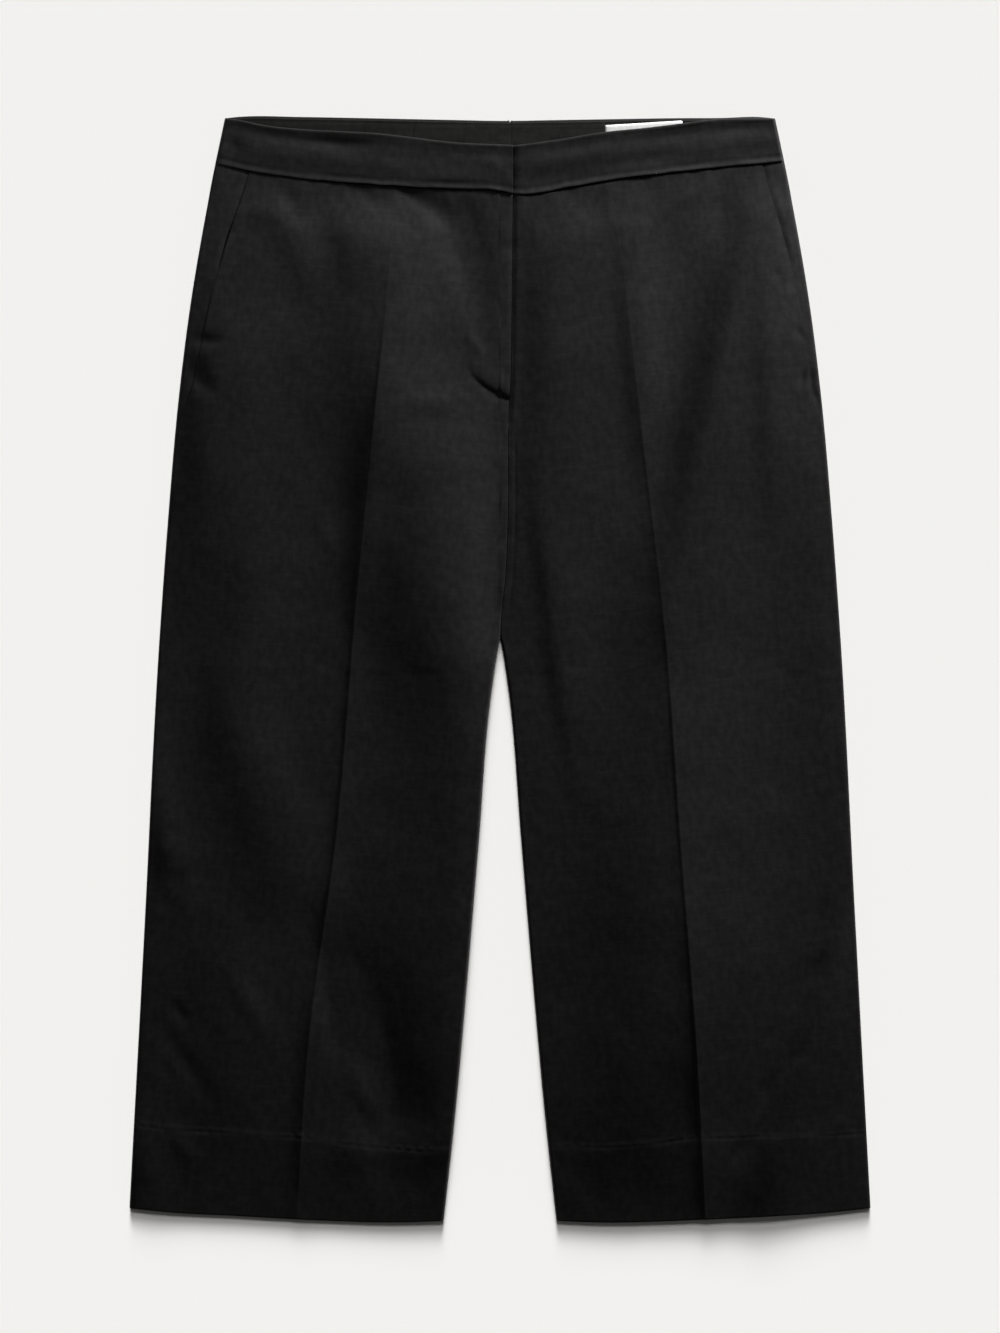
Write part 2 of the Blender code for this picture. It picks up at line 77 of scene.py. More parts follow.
# Half widths and heights that the flat garment is laid out from.
BAND_SEAM_SIDE = 193.5
WAIST_SIDE = 187.0
BACK_BAND_FOOT = 341.0
HEM_DEPTH = 53.0
CROTCH_HEIGHT = 21.5
FLY_FOOT = 177.0
UNDER_BAND = 1.5

# How far the garment is moved up the frame, and the share of a fold's length that each of its
# ends fades over.
TABLE_ZERO = 0.7
FOLD_FADE = 0.45

# How far things take to change: the fine relief off the side seam, a drawn-out edge at the
# band, the edge at the foot of the pocket's mouth and of the fly, and the hem's lighter worn edge.
SIDE_FADE = 5.0
DRAWN_FADE = 20.0
POCKET_BLEND = 24.0
FLY_LEAD = 14.0
FLY_BLEND = 10.0
HEM_RUB = 1.6

# Cells along a side of a ripple's lattice, after which it repeats, and the places at which
# spaced() reads its steps.
CELLS = 96
SPACED_READINGS = 4001


class Side(Enum):
    """A side of the wearer, whose value is its sign of X."""

    LEFT = 1
    RIGHT = -1

    @property
    def word(self) -> str:
        """The side's word in a piece's name."""
        return self.name.lower()


class Station(NamedTuple):
    """A point of a line up the garment: its height and its distance from the middle."""

    height: float
    across: float


class Level(NamedTuple):
    """A point of a line that runs across the garment."""

    across: float
    height: float


class Fold(NamedTuple):
    """A soft ridge, or a trough where its rise is below 0, along a line of stations.

    It reaches left and right of the line by those distances, and fades towards both ends.
    """

    name: str
    rise: float
    left: float
    right: float
    line: tuple[Station, ...]


class Dent(NamedTuple):
    """A short crease: its middle, half length, half width, lean from +X and rise."""

    across: float
    height: float
    length: float
    width: float
    lean: float
    rise: float


class Columns(NamedTuple):
    """Columns of a grid: their places across, and how far each is dropped."""

    across: Array
    drop: Array


class Edge(NamedTuple):
    """A leg panel's edge: its place, and its turn's angle and radius, at heights."""

    place: Line
    turn: Callable[[Array], tuple[Array, Array]]


class Ramp(NamedTuple):
    """A rise from 0 to 1, level at both ends: where it starts, and its length."""

    start: float
    length: float

    def at(self, where: Array) -> Array:
        """Read the rise."""
        return smooth_step((where - self.start) / self.length)


class Ridge(NamedTuple):
    """A ridge as a bell, or a groove where its rise is below 0."""

    rise: float
    place: float
    reach: float

    def at(self, where: Array) -> Array:
        """Read the ridge."""
        return self.rise * bell(where - self.place, self.reach)


class Ripple(NamedTuple):
    """Smooth random relief of a rise to either side, in cells of a width and a height.

    A seeded lattice holds a value from -1 to 1 at each corner of the cells, and smooth steps
    blend the four values round each point.
    """

    rise: float
    width: float
    height: float
    seed: int

    def at(self, x: Array, y: Array) -> Array:
        """Read the relief.

        Args:
            x: Places across.
            y: Places up.

        Returns:
            The relief at each point.
        """
        lattice = np.random.default_rng(self.seed).uniform(-1.0, 1.0, (CELLS + 1, CELLS + 1))
        column, row = x / self.width, y / self.height
        left, low = np.floor(column).astype(int), np.floor(row).astype(int)
        across, up = smooth_step(column - left), smooth_step(row - low)
        left, low = left % CELLS, low % CELLS
        bottom = lattice[low, left] * (1 - across) + lattice[low, left + 1] * across
        top = lattice[low + 1, left] * (1 - across) + lattice[low + 1, left + 1] * across
        return self.rise * (bottom * (1 - up) + top * up)


# How each piece's cloth lies unevenly: the rise, its cells' width and height, and a seed.
CREST_WEAR = Ripple(0.25, 90.0, 34.0, 13)
STITCH_WANDER = Ripple(0.7, 26.0, 9.0, 7)
STITCH_PITCH = Ripple(4.0, 19.0, 90.0, 5)
STITCH_STRENGTH = Ripple(0.75, 17.0, 60.0, 6)
BAND_PUCKER = Ripple(1.0, 7.0, 26.0, 11)
SEAM_BREAK = Ripple(0.6, 11.0, 400.0, 14)
SEAM_PULL = Ripple(1.0, 26.0, 9.0, 12)
FRONT_WAVES = Ripple(0.16, 17.0, 24.0, 21)
FRONT_GRAIN = Ripple(0.05, 6.0, 8.0, 22)
BACK_WAVES = {Side.RIGHT: Ripple(0.3, 44.0, 120.0, 40), Side.LEFT: Ripple(0.3, 44.0, 120.0, 42)}
MOUTH_BREAK = Ripple(0.6, 9.0, 14.0, 52)
HIP_WAVES = Ripple(0.16, 9.0, 15.0, 51)
BAND_ROLL = Ripple(0.5, 19.0, 200.0, 61)
BAND_GROOVE = Ripple(0.8, 35.0, 200.0, 62)
BAND_HOLLOW = Ripple(0.8, 48.0, 200.0, 63)
BAND_WAVES = Ripple(0.2, 26.0, 12.0, 64)
BAND_GRAIN = Ripple(0.05, 7.0, 5.0, 65)
BAND_WANDER = Ripple(0.3, 9.0, 9.0, 66)
FACING_WAVES = Ripple(0.14, 15.0, 40.0, 71)
FACING_RIBS = Ripple(0.09, 50.0, 1.8, 72)
SHIELD_WAVES = Ripple(0.1, 15.0, 30.0, 81)
TAPE_WAVES = Ripple(0.12, 16.0, 9.0, 91)


def stations(*points: tuple[float, float]) -> tuple[Station, ...]:
    """Make a line's stations from heights and distances."""
    return tuple(Station(*point) for point in points)


def levels(*points: tuple[float, float]) -> tuple[Level, ...]:
    """Make a line's levels from distances and heights."""
    return tuple(Level(*point) for point in points)


def creases(*rows: tuple[float, ...]) -> tuple[Dent, ...]:
    """Make short creases from rows of their numbers."""
    return tuple(Dent(*row) for row in rows)


def fold(name: str, rise: float, left: float, right: float, *line: tuple[float, float]) -> Fold:
    """Make a fold along a line of heights and distances."""
    return Fold(name, rise, left, right, stations(*line))


# The lines that the flat garment is cut and sewn along. Stations are heights and distances from
# the middle, and levels are distances and heights.
SIDE_SEAM = stations(
    (377, 187), (322, 198), (246, 211), (184, 218.7), (103, 225.8), (21, 231.7), (-170, 241.6),
    (-365, 252))
INSEAM = stations(
    (CROTCH_HEIGHT, 0.5), (13, 2), (-13, 5.8), (-115, 14.4), (-217, 22.9), (-299, 30.3),
    (-377, 38.8))
FRONT_SEAM = stations(
    (CROTCH_HEIGHT, 0), (37, 0.8), (61, 3.4), (107, 5.4), (FLY_FOOT, 5.9), (195, 7), (240, 7.8),
    (330, 8.7), (380, 8.8))
BACK_SEAM = stations((CROTCH_HEIGHT, 0), (200, 4.4), (380, 7.4))
HEM_LINE = levels(
    (38, -373.8), (62, -374.6), (147, -372.2), (184, -370.2), (217, -368.6), (253, -365.2))

# The hem's stitched line is a height over the hem's edge, and the drag crease a line of its own.
STITCH_LINE = {
    Side.RIGHT: levels((-250, 59), (-137, 57), (-103, 54.5), (-50, 50)),
    Side.LEFT: levels((40, 52), (95, 55), (136, 57.4), (204, 55), (250, 53.5)),
}
DRAG_LINE = levels(
    (-27, 214.5), (-23.8, 209.9), (-19.7, 201.8), (-12.9, 195), (-6.8, 190.9), (-0.7, 187.6),
    (5.5, 184.6))

# The waistband's edges, and the pressed crease.
WAIST_LINE = levels(
    (-187, 376.4), (-176, 377.4), (-136, 377.2), (-102, 376.6), (-34, 375.2), (5, 374.5),
    (34, 375), (82, 375.8), (122, 376.4), (150, 376.5), (178, 377.1), (187, 376.2))
BAND_SEAM = {
    Side.RIGHT: levels(
        (-194, 344.6), (-169, 339.2), (-143, 335.5), (-117, 332.7), (-68, 329.3), (-30, 327.4),
        (-4, 326.6), (9, 324)),
    Side.LEFT: levels(
        (-2, 323.6), (8, 323.8), (27, 324.8), (46, 328.5), (68, 332.3), (94, 336), (120, 339),
        (146, 342), (194, 346.2)),
}
BAND_TOP = {
    Side.RIGHT: levels(
        (-188, 375.6), (-179, 374.6), (-160, 370.7), (-134, 368), (-106, 366.6), (-82, 365.2),
        (-68, 363.6), (-30, 359.1), (9, 357.3)),
    Side.LEFT: levels(
        (-2, 356.6), (9, 357.2), (37, 360.7), (70, 366), (102, 369.4), (124, 372.1), (140, 374.2),
        (188, 375.6)),
}
CREASE = {
    Side.RIGHT: stations(
        (330, -72), (266, -75.6), (157, -86.8), (60, -96.6), (-115, -111.6), (-248, -129.6),
        (-377, -138.4)),
    Side.LEFT: stations(
        (330, 74), (284, 81.5), (149, 97.8), (18, 112.6), (-115, 122), (-251, 132.5),
        (-377, 139.6)),
}

# Short creases in the front band, with heights up from its seam.
BAND_DENTS = {
    Side.RIGHT: creases(
        (-181, 14, 6, 7, 0, -0.7), (-150, 26, 28, 4, 0, -0.5), (-112, 25, 24, 4, 0, -0.9),
        (-130, 14, 50, 5, 0, 0.3), (-60, 20, 30, 5, 0, -0.4), (-30, 8, 26, 4, 0, 0.3),
        (-4, 16, 8, 6, 0, 0.4)),
    Side.LEFT: creases(
        (36, 8, 26, 6, 0, -0.6), (50, 20, 30, 5, 0, 0.3), (92, 10, 26, 5, 0, -0.5),
        (108, 24, 24, 5, 0, -0.6), (140, 14, 22, 6, 0, 0.4), (160, 24, 16, 4, 0, -0.5),
        (172, 8, 14, 5, 0, -0.4)),
}

# Heights and rises of the pressed ridge, and of its own edge.
CREASE_RISE = {
    Side.RIGHT: (
        (345, 0.1), (260, 0.2), (200, 0.6), (60, 0.75), (-100, 0.8), (-200, 1.3), (-377, 1.4),
    ),
    Side.LEFT: ((345, 0.05), (200, 0.3), (60, 0.5), (-20, 0.65), (-200, 0.8), (-377, 1)),
}
CREST_RISE = {
    Side.RIGHT: (
        (345, 0), (260, 0.08), (200, 0.3), (130, 0.36), (40, 0.36), (-60, 0.45), (-160, 0.4),
        (-240, 0.2), (-300, 0.05), (-377, 0),
    ),
    Side.LEFT: (
        (345, 0), (230, 0.02), (150, 0.2), (80, 0.12), (20, 0.25), (-60, 0.45), (-160, 0.55),
        (-300, 0.65), (-377, 0.5),
    ),
}

# The pocket's mouth, the height of its foot, and where the front's edge has left it.
POCKET_MOUTH = {
    Side.RIGHT: stations(
        (160, -221), (196, -208), (226, -201.7), (264, -193.6), (297, -184), (325, -174.8),
        (341, -169.8)),
    Side.LEFT: stations(
        (160, 221), (180, 214), (206, 209.5), (236, 205.5), (290, 193.2), (316, 185.8),
        (345, 178)),
}
POCKET_FOOT = {Side.RIGHT: 226.0, Side.LEFT: 206.0}
POCKET_END = 170.0

# Degrees that the pocket's edge turns at its mouth, and the share of the folds kept at the hem.
MOUTH_TURN = {Side.RIGHT: 50.0, Side.LEFT: 6.0}
HEM_SHARE = {Side.RIGHT: 0.5, Side.LEFT: 0.72}

# Where a front's columns and rows are close, by its share of the way across and its heights.
INNER_FINE = {Side.RIGHT: 0.15, Side.LEFT: 0.03}
FINE_ROWS = (180.0, 218.0)

# The fronts' folds: rise, reach to the left and right, and line. Then their short creases.
FOLDS = {
    Side.RIGHT: (
        fold("hip bulge", 4.7, 36, 34, (340, -74), (262, -77), (200, -80), (100, -78)),
        fold("hip shelf", 2.8, 120, 37, (400, -66), (262, -77), (200, -80), (100, -78)),
        fold("fly valley", -2.4, 14, 16, (390, -50), (330, -38), (270, -18), (200, -8)),
        fold("upper thigh ridge", 5.4, 42, 40, (228, -40), (150, -43), (60, -45), (-60, -42)),
        fold("inner thigh ridge", 3.4, 36, 32, (120, -45), (50, -38), (0, -28), (-60, -20),
             (-160, -16)),
        fold("crease wedge", 2.6, 17, 56, (215, -76), (157, -81), (100, -86), (20, -94)),
        fold("pocket ridge", 4.8, 27, 70, (330, -182), (180, -190), (100, -194), (0, -198)),
        fold("outer band pleat", 1.3, 12, 16, (345, -160), (310, -147), (280, -135), (240, -128)),
        fold("inner band pleat", 1.6, 12, 30, (345, -110), (310, -104), (285, -100), (250, -95)),
        fold("outer thigh swell", 3, 24, 28, (160, -172), (40, -172), (-30, -178), (-80, -166),
             (-130, -152), (-230, -132)),
        fold("side lump", 2, 14, 13, (10, -240), (-75, -236), (-115, -227), (-185, -204)),
        fold("low outer swell", 2.2, 26, 30, (-150, -190), (-223, -178), (-300, -190),
             (-350, -200)),
        fold("knee trough", -4.5, 16, 36, (-140, -130), (-240, -101), (-270, -91), (-300, -82),
             (-395, -58)),
        fold("inseam ridge", 5.8, 50, 26, (20, -4), (-100, -14), (-200, -22), (-280, -30),
             (-460, -46)),
        fold("hem corner ridge", 2.3, 18, 18, (-270, -256), (-330, -245), (-430, -226)),
    ),
    Side.LEFT: (
        fold("fly swell", 2, 40, 34, (400, 28), (240, 32), (170, 36), (100, 41), (-20, 52)),
        fold("inseam fold", 1.7, 8, 24, (170, 20), (100, 28), (50, 35), (0, 41), (-50, 49),
             (-120, 58)),
        fold("front hip swell", 2.1, 75, 19, (400, 86), (270, 92), (200, 95), (90, 98)),
        fold("crease shoulder", 1, 8, 18, (335, 84), (220, 90), (170, 95), (80, 103)),
        fold("hip fold", 7.6, 19, 54, (382, 186), (300, 174), (262, 165), (225, 156), (190, 147),
             (150, 138), (110, 130), (0, 112)),
        fold("pocket ridge", 1.6, 10, 18, (330, 176), (260, 180), (180, 184), (40, 190)),
        fold("crease swell", 4.4, 30, 48, (150, 108), (50, 116), (0, 119), (-60, 122), (-150, 125)),
        fold("low crease swell", 1, 12, 60, (-20, 118), (-120, 124), (-220, 130), (-400, 138)),
        fold("inner knee swell", 9.4, 47, 62, (20, 100), (-120, 112), (-200, 114), (-250, 107),
             (-300, 95), (-415, 75)),
        fold("side seam ridge", 1.8, 26, 15, (420, 180), (330, 195), (180, 216), (100, 223),
             (20, 229), (-170, 239), (-260, 243)),
        fold("hem corner swell", 2.4, 45, 44, (-290, 178), (-330, 175), (-440, 171)),
        fold("side diagonal", 6, 14, 28, (-80, 250), (-200, 229), (-235, 217), (-270, 205),
             (-310, 192), (-440, 160)),
    ),
}
DENTS = {
    Side.RIGHT: creases(
        (-142, 318, 14, 5, -55, -0.8), (-90, 322, 16, 5, -25, -0.7), (-61, 323, 10, 5, -30, -0.8),
        (-46, 314, 24, 8, -22, -1.2), (-163, 312, 14, 8, 0, 0.8), (-54, 310, 14, 6, -50, 0.5),
        (-44, 182, 22, 8, 4, 0.8), (-24, 316, 12, 6, -50, -0.5), (-17, 222, 10, 4, -55, 0.5),
        (3, 202, 5, 2.5, 80, -0.5), (-170, -226, 26, 7, -58, 0.7), (-118, 92, 16, 4, -70, 0.4),
        (-198, 224, 11, 4.6, 0, -0.9), (-203, 198, 13, 6, -58, -1.2),
        (-95, -286, 24, 9, -62, 1.4), (-218, -232, 9, 4, -50, -0.8),
        (-226, -272, 6, 4, -60, -0.6), (-214, -266, 30, 7, -55, -0.7),
        (-223, -109, 7, 4, 80, -0.6), (-219, -142, 7, 4, 80, -0.6), (-216, -323, 12, 6, -60, 0.6),
        (-80, -324, 40, 15, 0, 1.3)),
    Side.LEFT: creases(
        (152, 311, 17, 11, 85, -1.1), (128, 322, 18, 6, 30, 0.7), (64, 314, 12, 8, 80, -0.6),
        (34, 300, 14, 6, 75, -0.4), (205, 198, 6, 2.2, 80, -0.6), (211.5, 196.5, 6, 2, 85, -0.6),
        (215, 185, 6, 2.2, -70, -0.6), (203, 229, 5, 2.4, -60, -0.4),
        (188.5, 268, 5, 2.6, -65, -0.5), (191.5, 303, 6, 3, -60, -0.4),
        (215.5, -203, 10, 5, 60, -0.7), (197, -264, 12, 5, 60, -0.7),
        (163, -325, 12, 5, 50, -0.6), (181.5, -284, 10, 5, 60, -0.6), (171, -203, 12, 7, 70, 0.6),
        (230, -308, 10, 6, 60, 0.6)),
}


def smooth_step(share: Array) -> Array:
    """Rise from 0 to 1 as the share does, level at both ends: 3s^2 - 2s^3."""
    share = np.clip(share, 0.0, 1.0)
    return share * share * (3.0 - 2.0 * share)


def soft_floor(height: Array) -> Array:
    """Hold heights above 0 with a soft bend: half of h plus the root of h^2 + 0.25."""
    return 0.5 * (height + np.sqrt(height * height + 0.25))


def bell(offset: Array, reach: float) -> Array:
    """Fall from 1 at 0 with the distance over the reach: e to the minus its square."""
    return np.exp(-(offset / reach) ** 2)


def short_creases(x: Array, y: Array, dents: Sequence[Dent]) -> Array:
    """Add up short creases: each is a bell along its own lean times a bell across it.

    Args:
        x: Places across.
        y: Places up.
        dents: The creases.

    Returns:
        The relief at each point.
    """
    relief = np.zeros_like(x)
    for dent in dents:
        lean = np.radians(dent.lean)
        along = (x - dent.across) * np.cos(lean) + (y - dent.height) * np.sin(lean)
        aside = (y - dent.height) * np.cos(lean) - (x - dent.across) * np.sin(lean)
        relief += dent.rise * bell(along, dent.length) * bell(aside, dent.width)
    return relief


def curve_through(where: Array, points: Sequence[tuple[float, float]]) -> Array:
    """Read a smooth curve through points: cubics that share their slopes at the points.

    Args:
        where: Places to read the curve at, held between the first and the last point.
        points: Pairs of a place and a value, in any order.

    Returns:
        The curve's value at each place.
    """
    table = np.array(sorted((point[0], point[1]) for point in points))
    place, value = table[:, 0], table[:, 1]
    slope = np.gradient(value, place)
    where = np.clip(where, place[0], place[-1])
    start = np.clip(np.searchsorted(place, where) - 1, 0, len(place) - 2)
    span = place[start + 1] - place[start]
    part = (where - place[start]) / span
    rest = 1.0 - part
    return (
        (1 + 2 * part) * rest ** 2 * value[start]
        + part * rest ** 2 * span * slope[start]
        + part ** 2 * (3 - 2 * part) * value[start + 1]
        - part ** 2 * rest * span * slope[start + 1]
    )


def spaced(start: float, end: float, *spacings: tuple[float, float]) -> Array:
    """Place a grid's lines from start to end, as far apart as the spacings say.

    The number of lines up to a place is the running sum of 1 over the step there.

    Args:
        start: The first line's place.
        end: The last line's place.
        *spacings: Places in rising order and the steps there, with straight lines between.

    Returns:
        The lines' places in rising order.
    """
    fine = np.linspace(start, end, SPACED_READINGS)
    step = np.interp(fine, *zip(*spacings))
    middle = (step[1:] + step[:-1]) / 2
    count = np.concatenate([[0.0], np.cumsum(np.diff(fine) / middle)])
    return np.interp(np.linspace(0.0, count[-1], round(count[-1]) + 1), count, fine)


def turned(
    edge: Array, inward: float, turn: Values, radius: Values, steps: int = 7
) -> Columns:
    """Lay out the columns that go round an edge, as an arc of the radius.

    Args:
        edge: Each row's place at the very edge.
        inward: The sign of X that leads into the piece.
        turn: The angle of turn in radians, one for all the rows or one a row.
        radius: The arc's radius, one for all the rows or one a row.
        steps: Strips round the arc.

    Returns:
        Places across and drops, from the edge to where the cloth is flat.
    """
    turn = np.broadcast_to(turn, edge.shape)
    radius = np.broadcast_to(radius, edge.shape)
    angle = turn[:, None] * np.linspace(1.0, 0.0, steps + 1)[None, :]
    reach = np.sin(turn)[:, None] - np.sin(angle)
    across = edge[:, None] + inward * radius[:, None] * reach
    return Columns(across, radius[:, None] * (1.0 - np.cos(angle)))


def between(inner: Columns, flat: Array, outer: Columns) -> Columns:
    """Put a piece's turned edges on both sides of its flat columns.

    Args:
        inner: The columns round its inner edge, from the very edge inwards.
        flat: Places across of its flat columns, which start and end where the edges end.
        outer: The columns round its outer edge, from the very edge inwards.

    Returns:
        All the piece's columns, from the inner edge to the outer one.
    """
    return Columns(
        np.hstack([inner.across[:, :-1], flat, outer.across[:, -2::-1]]),
        np.hstack([inner.drop[:, :-1], np.zeros_like(flat), outer.drop[:, -2::-1]]),
    )


def spanned(inner: Columns, outer: Columns, shares: Array) -> Columns:
    """Join two turned edges by flat columns at shares of the way between them.

    Args:
        inner: The columns round the inner edge, from the very edge inwards.
        outer: The columns round the outer edge, from the very edge inwards.
        shares: The flat columns' shares of the way, from 0 to 1.

    Returns:
        All the piece's columns, from the inner edge to the outer one.
    """
    start, end = inner.across[:, -1:], outer.across[:, -1:]
    return between(inner, start + (end - start) * shares[None, :], outer)


def drawn_out(face: Array, y: Array) -> Array:
    """How far a leg's turned edge is drawn out downwards, to meet the back from a raised face.

    It is 1 plus the face's rise as a share of the turn's radius, and fades to 1 at the band.

    Args:
        face: Heights of the outer face.
        y: Heights up the garment.

    Returns:
        What the drops round the edge are multiplied by.
    """
    lifted = 1.0 + np.maximum(face - FRONT_FACE, 0.0) / LEG_TURN
    below_band = Outline.band_seam(0.0 * y, Side.RIGHT) + DRAWN_FADE / 2 - y
    return 1.0 + (lifted - 1.0) * smooth_step(below_band / DRAWN_FADE)


def normals(points: Array, sign: float) -> Array:
    """Give a grid's unit normals: its column step crossed with its row step, by the sign.

    Args:
        points: Rows by columns of places.
        sign: The sign that points the normals outwards.

    Returns:
        The normals at the points.
    """
    along = np.gradient(points, axis=1)
    up = np.gradient(points, axis=0)
    cross = np.cross(along, up) * sign
    return cross / np.maximum(np.linalg.norm(cross, axis=2, keepdims=True), TINY)


def lengths_up(points: Array) -> Array:
    """Add up the steps from row to row of a grid, from 0 at its first row.

    Args:
        points: Rows by columns of places.

    Returns:
        Each point's length along its column.
    """
    steps = np.linalg.norm(np.diff(points, axis=0), axis=2)
    return np.concatenate([np.zeros((1, points.shape[1])), np.cumsum(steps, axis=0)])


class Outline:
    """The flat garment's lines, that all its pieces are cut to."""

    @staticmethod
    def side(y: Array) -> Array:
        """Distance of the side seam from the middle."""
        return curve_through(y, SIDE_SEAM)

    @staticmethod
    def inner(y: Array, side: Side, seam: Sequence[Station]) -> Array:
        """Place of a leg panel's inner edge: its centre seam, or the inseam below the crotch."""
        centre = curve_through(y, seam) + side.value * SEAM_GAP / 2
        return np.where(y > CROTCH_HEIGHT, centre, side.value * curve_through(y, INSEAM))

    @staticmethod
    def hem(x: Array) -> Array:
        """Height of the hem's edge."""
        return curve_through(np.abs(x), HEM_LINE)

    @staticmethod
    def band_seam(x: Array, side: Side) -> Array:
        """Height of the front waistband's seam."""
        return curve_through(x, BAND_SEAM[side])

    @staticmethod
    def waist(x: Array) -> Array:
        """Height of the back waistband's edge, which sags in the middle."""
        return curve_through(x, WAIST_LINE)

    @staticmethod
    def band_top(x: Array, side: Side) -> Array:
        """Height of the front waistband's edge, never above the back's."""
        return np.minimum(curve_through(x, BAND_TOP[side]), Outline.waist(x))

    @staticmethod
    def back_band_seam(x: Array, side: Side) -> Array:
        """Height of the back waistband's seam: a parabola up to the front's at the side."""
        corner = Outline.band_seam(np.array(side.value * BAND_SEAM_SIDE), side)
        return BACK_BAND_FOOT + (corner - BACK_BAND_FOOT) * (x / BAND_SEAM_SIDE) ** 2

    @staticmethod
    def crease(y: Array, side: Side) -> Array:
        """Place of the pressed crease."""
        return curve_through(y, CREASE[side])

    @staticmethod
    def pocket(y: Array, side: Side) -> Array:
        """Place of the pocket's mouth, which ends on the side seam below its foot.

        Args:
            y: Heights up the garment.
            side: The wearer's side.

        Returns:
            Places across.
        """
        mouth = np.abs(curve_through(y, POCKET_MOUTH[side]))
        seam = Outline.side(y)
        return side.value * np.minimum(seam, seam + (mouth - seam) * Outline.along_mouth(y))

    @staticmethod
    def along_mouth(y: Array) -> Array:
        """Share of the pocket's mouth in a front's edge: 0 below its end and 1 above."""
        return smooth_step((y - POCKET_END + POCKET_BLEND / 2) / POCKET_BLEND)

    @staticmethod
    def along_fly(y: Array) -> Array:
        """Share of the fly's lap in the centre seam: 0 below its foot and 1 above."""
        return smooth_step((y - FLY_FOOT + FLY_LEAD) / FLY_BLEND)

    @staticmethod
    def off_side(x: Array, y: Array) -> Array:
        """Share of the fine relief: 0 at the side seam and 1 a little way in."""
        return smooth_step((Outline.side(y) - np.abs(x)) / SIDE_FADE)


@dataclass
class Sheet:
    """A sheet of cloth as a grid of points of its outer face, ready to be made a mesh.

    Attributes:
        name: The piece's name.
        points: Rows by columns of places, in millimetres.
        thread: Rows by columns of places along the weft and the warp, in millimetres.
        rubbed: Rows by columns of how much lighter the cloth is painted, from 0 to 1:
        wear on folded edges, and painted highlights on the creases and the band's rolls.
        flip: Whether the quads run the other way round, so that they face outwards.
        wall: The cloth's thickness.
    """

    name: str
    points: Array
    thread: Array
    rubbed: Array
    flip: bool
    wall: float = CLOTH

    def build(self, material: bpy.types.Material) -> bpy.types.Object:
        """Make the mesh and give it its wall on the inner side.

        Args:
            material: The finish that it wears.

        Returns:
            The new object, at the origin.
        """
        rows, columns = self.points.shape[:2]
        index = np.arange(rows * columns).reshape(rows, columns)
        quads = np.stack([
            index[:-1, :-1], index[:-1, 1:], index[1:, 1:], index[1:, :-1],
        ], axis=-1).reshape(-1, 4)
        if self.flip:
            quads = quads[:, ::-1]
        lifted = self.points.reshape(-1, 3) + (0.0, TABLE_ZERO, 0.0)
        piece = mesh_object(self.name, lifted * MM, quads, material)
        mesh = piece.data
        corners = np.empty(len(mesh.loops), np.int32)
        mesh.loops.foreach_get("vertex_index", corners)
        thread = mesh.uv_layers.new(name="thread", do_init=False)
        places = (self.thread.reshape(-1, 2) * MM)[corners]
        thread.uv.foreach_set("vector", places.astype(np.float32).ravel())
        # The lighter paint's mask: wear on folded edges, and painted highlights on creases and
        # rolls.
        wear_and_sheen_mask = mesh.attributes.new("rubbed", "FLOAT", "POINT")
        wear_and_sheen_mask.data.foreach_set("value", self.rubbed.astype(np.float32).ravel())
        solidify = piece.modifiers.new("Wall", "SOLIDIFY")
        solidify.thickness = self.wall * MM
        solidify.offset = -1.0
        return piece


def mesh_object(
    name: str, points: Array, faces: Array, material: bpy.types.Material
) -> bpy.types.Object:
    """Make a smooth mesh object from points in metres and faces of one size.

    Args:
        name: The object's name.
        points: Places, one a row.
        faces: Indices of each face's points, one face a row.
        material: The finish that it wears.

    Returns:
        The new object, linked to the garment's collection.
    """
    mesh = bpy.data.meshes.new(name)
    mesh.from_pydata(points.tolist(), [], faces.tolist())
    mesh.materials.append(material)
    mesh.shade_smooth()
    piece = bpy.data.objects.new(name, mesh)
    garment_collection().objects.link(piece)
    return piece


def garment_collection() -> bpy.types.Collection:
    """Give the collection that holds the garment's pieces, made at its first use.

    Returns:
        The collection.
    """
    found = bpy.data.collections.get("garment")
    if found is None:
        found = bpy.data.collections.new("garment")
        bpy.context.scene.collection.children.link(found)
    return found


def folded_edge(
    points: Array, sign: float, radius: float, depth_rows: Array, steps: int = 6
) -> Array:
    """Give the rows that fold under a grid's first row and run back beneath it.

    The fold is half a circle about a point a radius under the first row, and the turned-in
    cloth lies two radii under the rows that it runs back beneath.

    Args:
        points: The grid of the outer face, whose first row is at the edge.
        sign: The sign that points the grid's normals outwards.
        radius: The fold's radius, to the cloth's outer face.
        depth_rows: Indices of the rows that the turned-in cloth lies under, rising.
        steps: Strips round the fold.

    Returns:
        Rows in order up to the grid's first row, to be put before it.
    """
    out = normals(points, sign)
    first, out_first = points[0], out[0]
    down = points[0] - points[1]
    down /= np.linalg.norm(down, axis=1, keepdims=True)
    under = (points[depth_rows] - 2 * radius * out[depth_rows])[::-1]
    angle = np.linspace(np.pi, 0.0, steps + 1)[1:-1, None, None]
    centre = first - radius * out_first
    arc = centre + radius * (np.cos(angle) * out_first + np.sin(angle) * down)
    start = centre - radius * out_first
    return np.concatenate([under[:-1], start[None], arc])


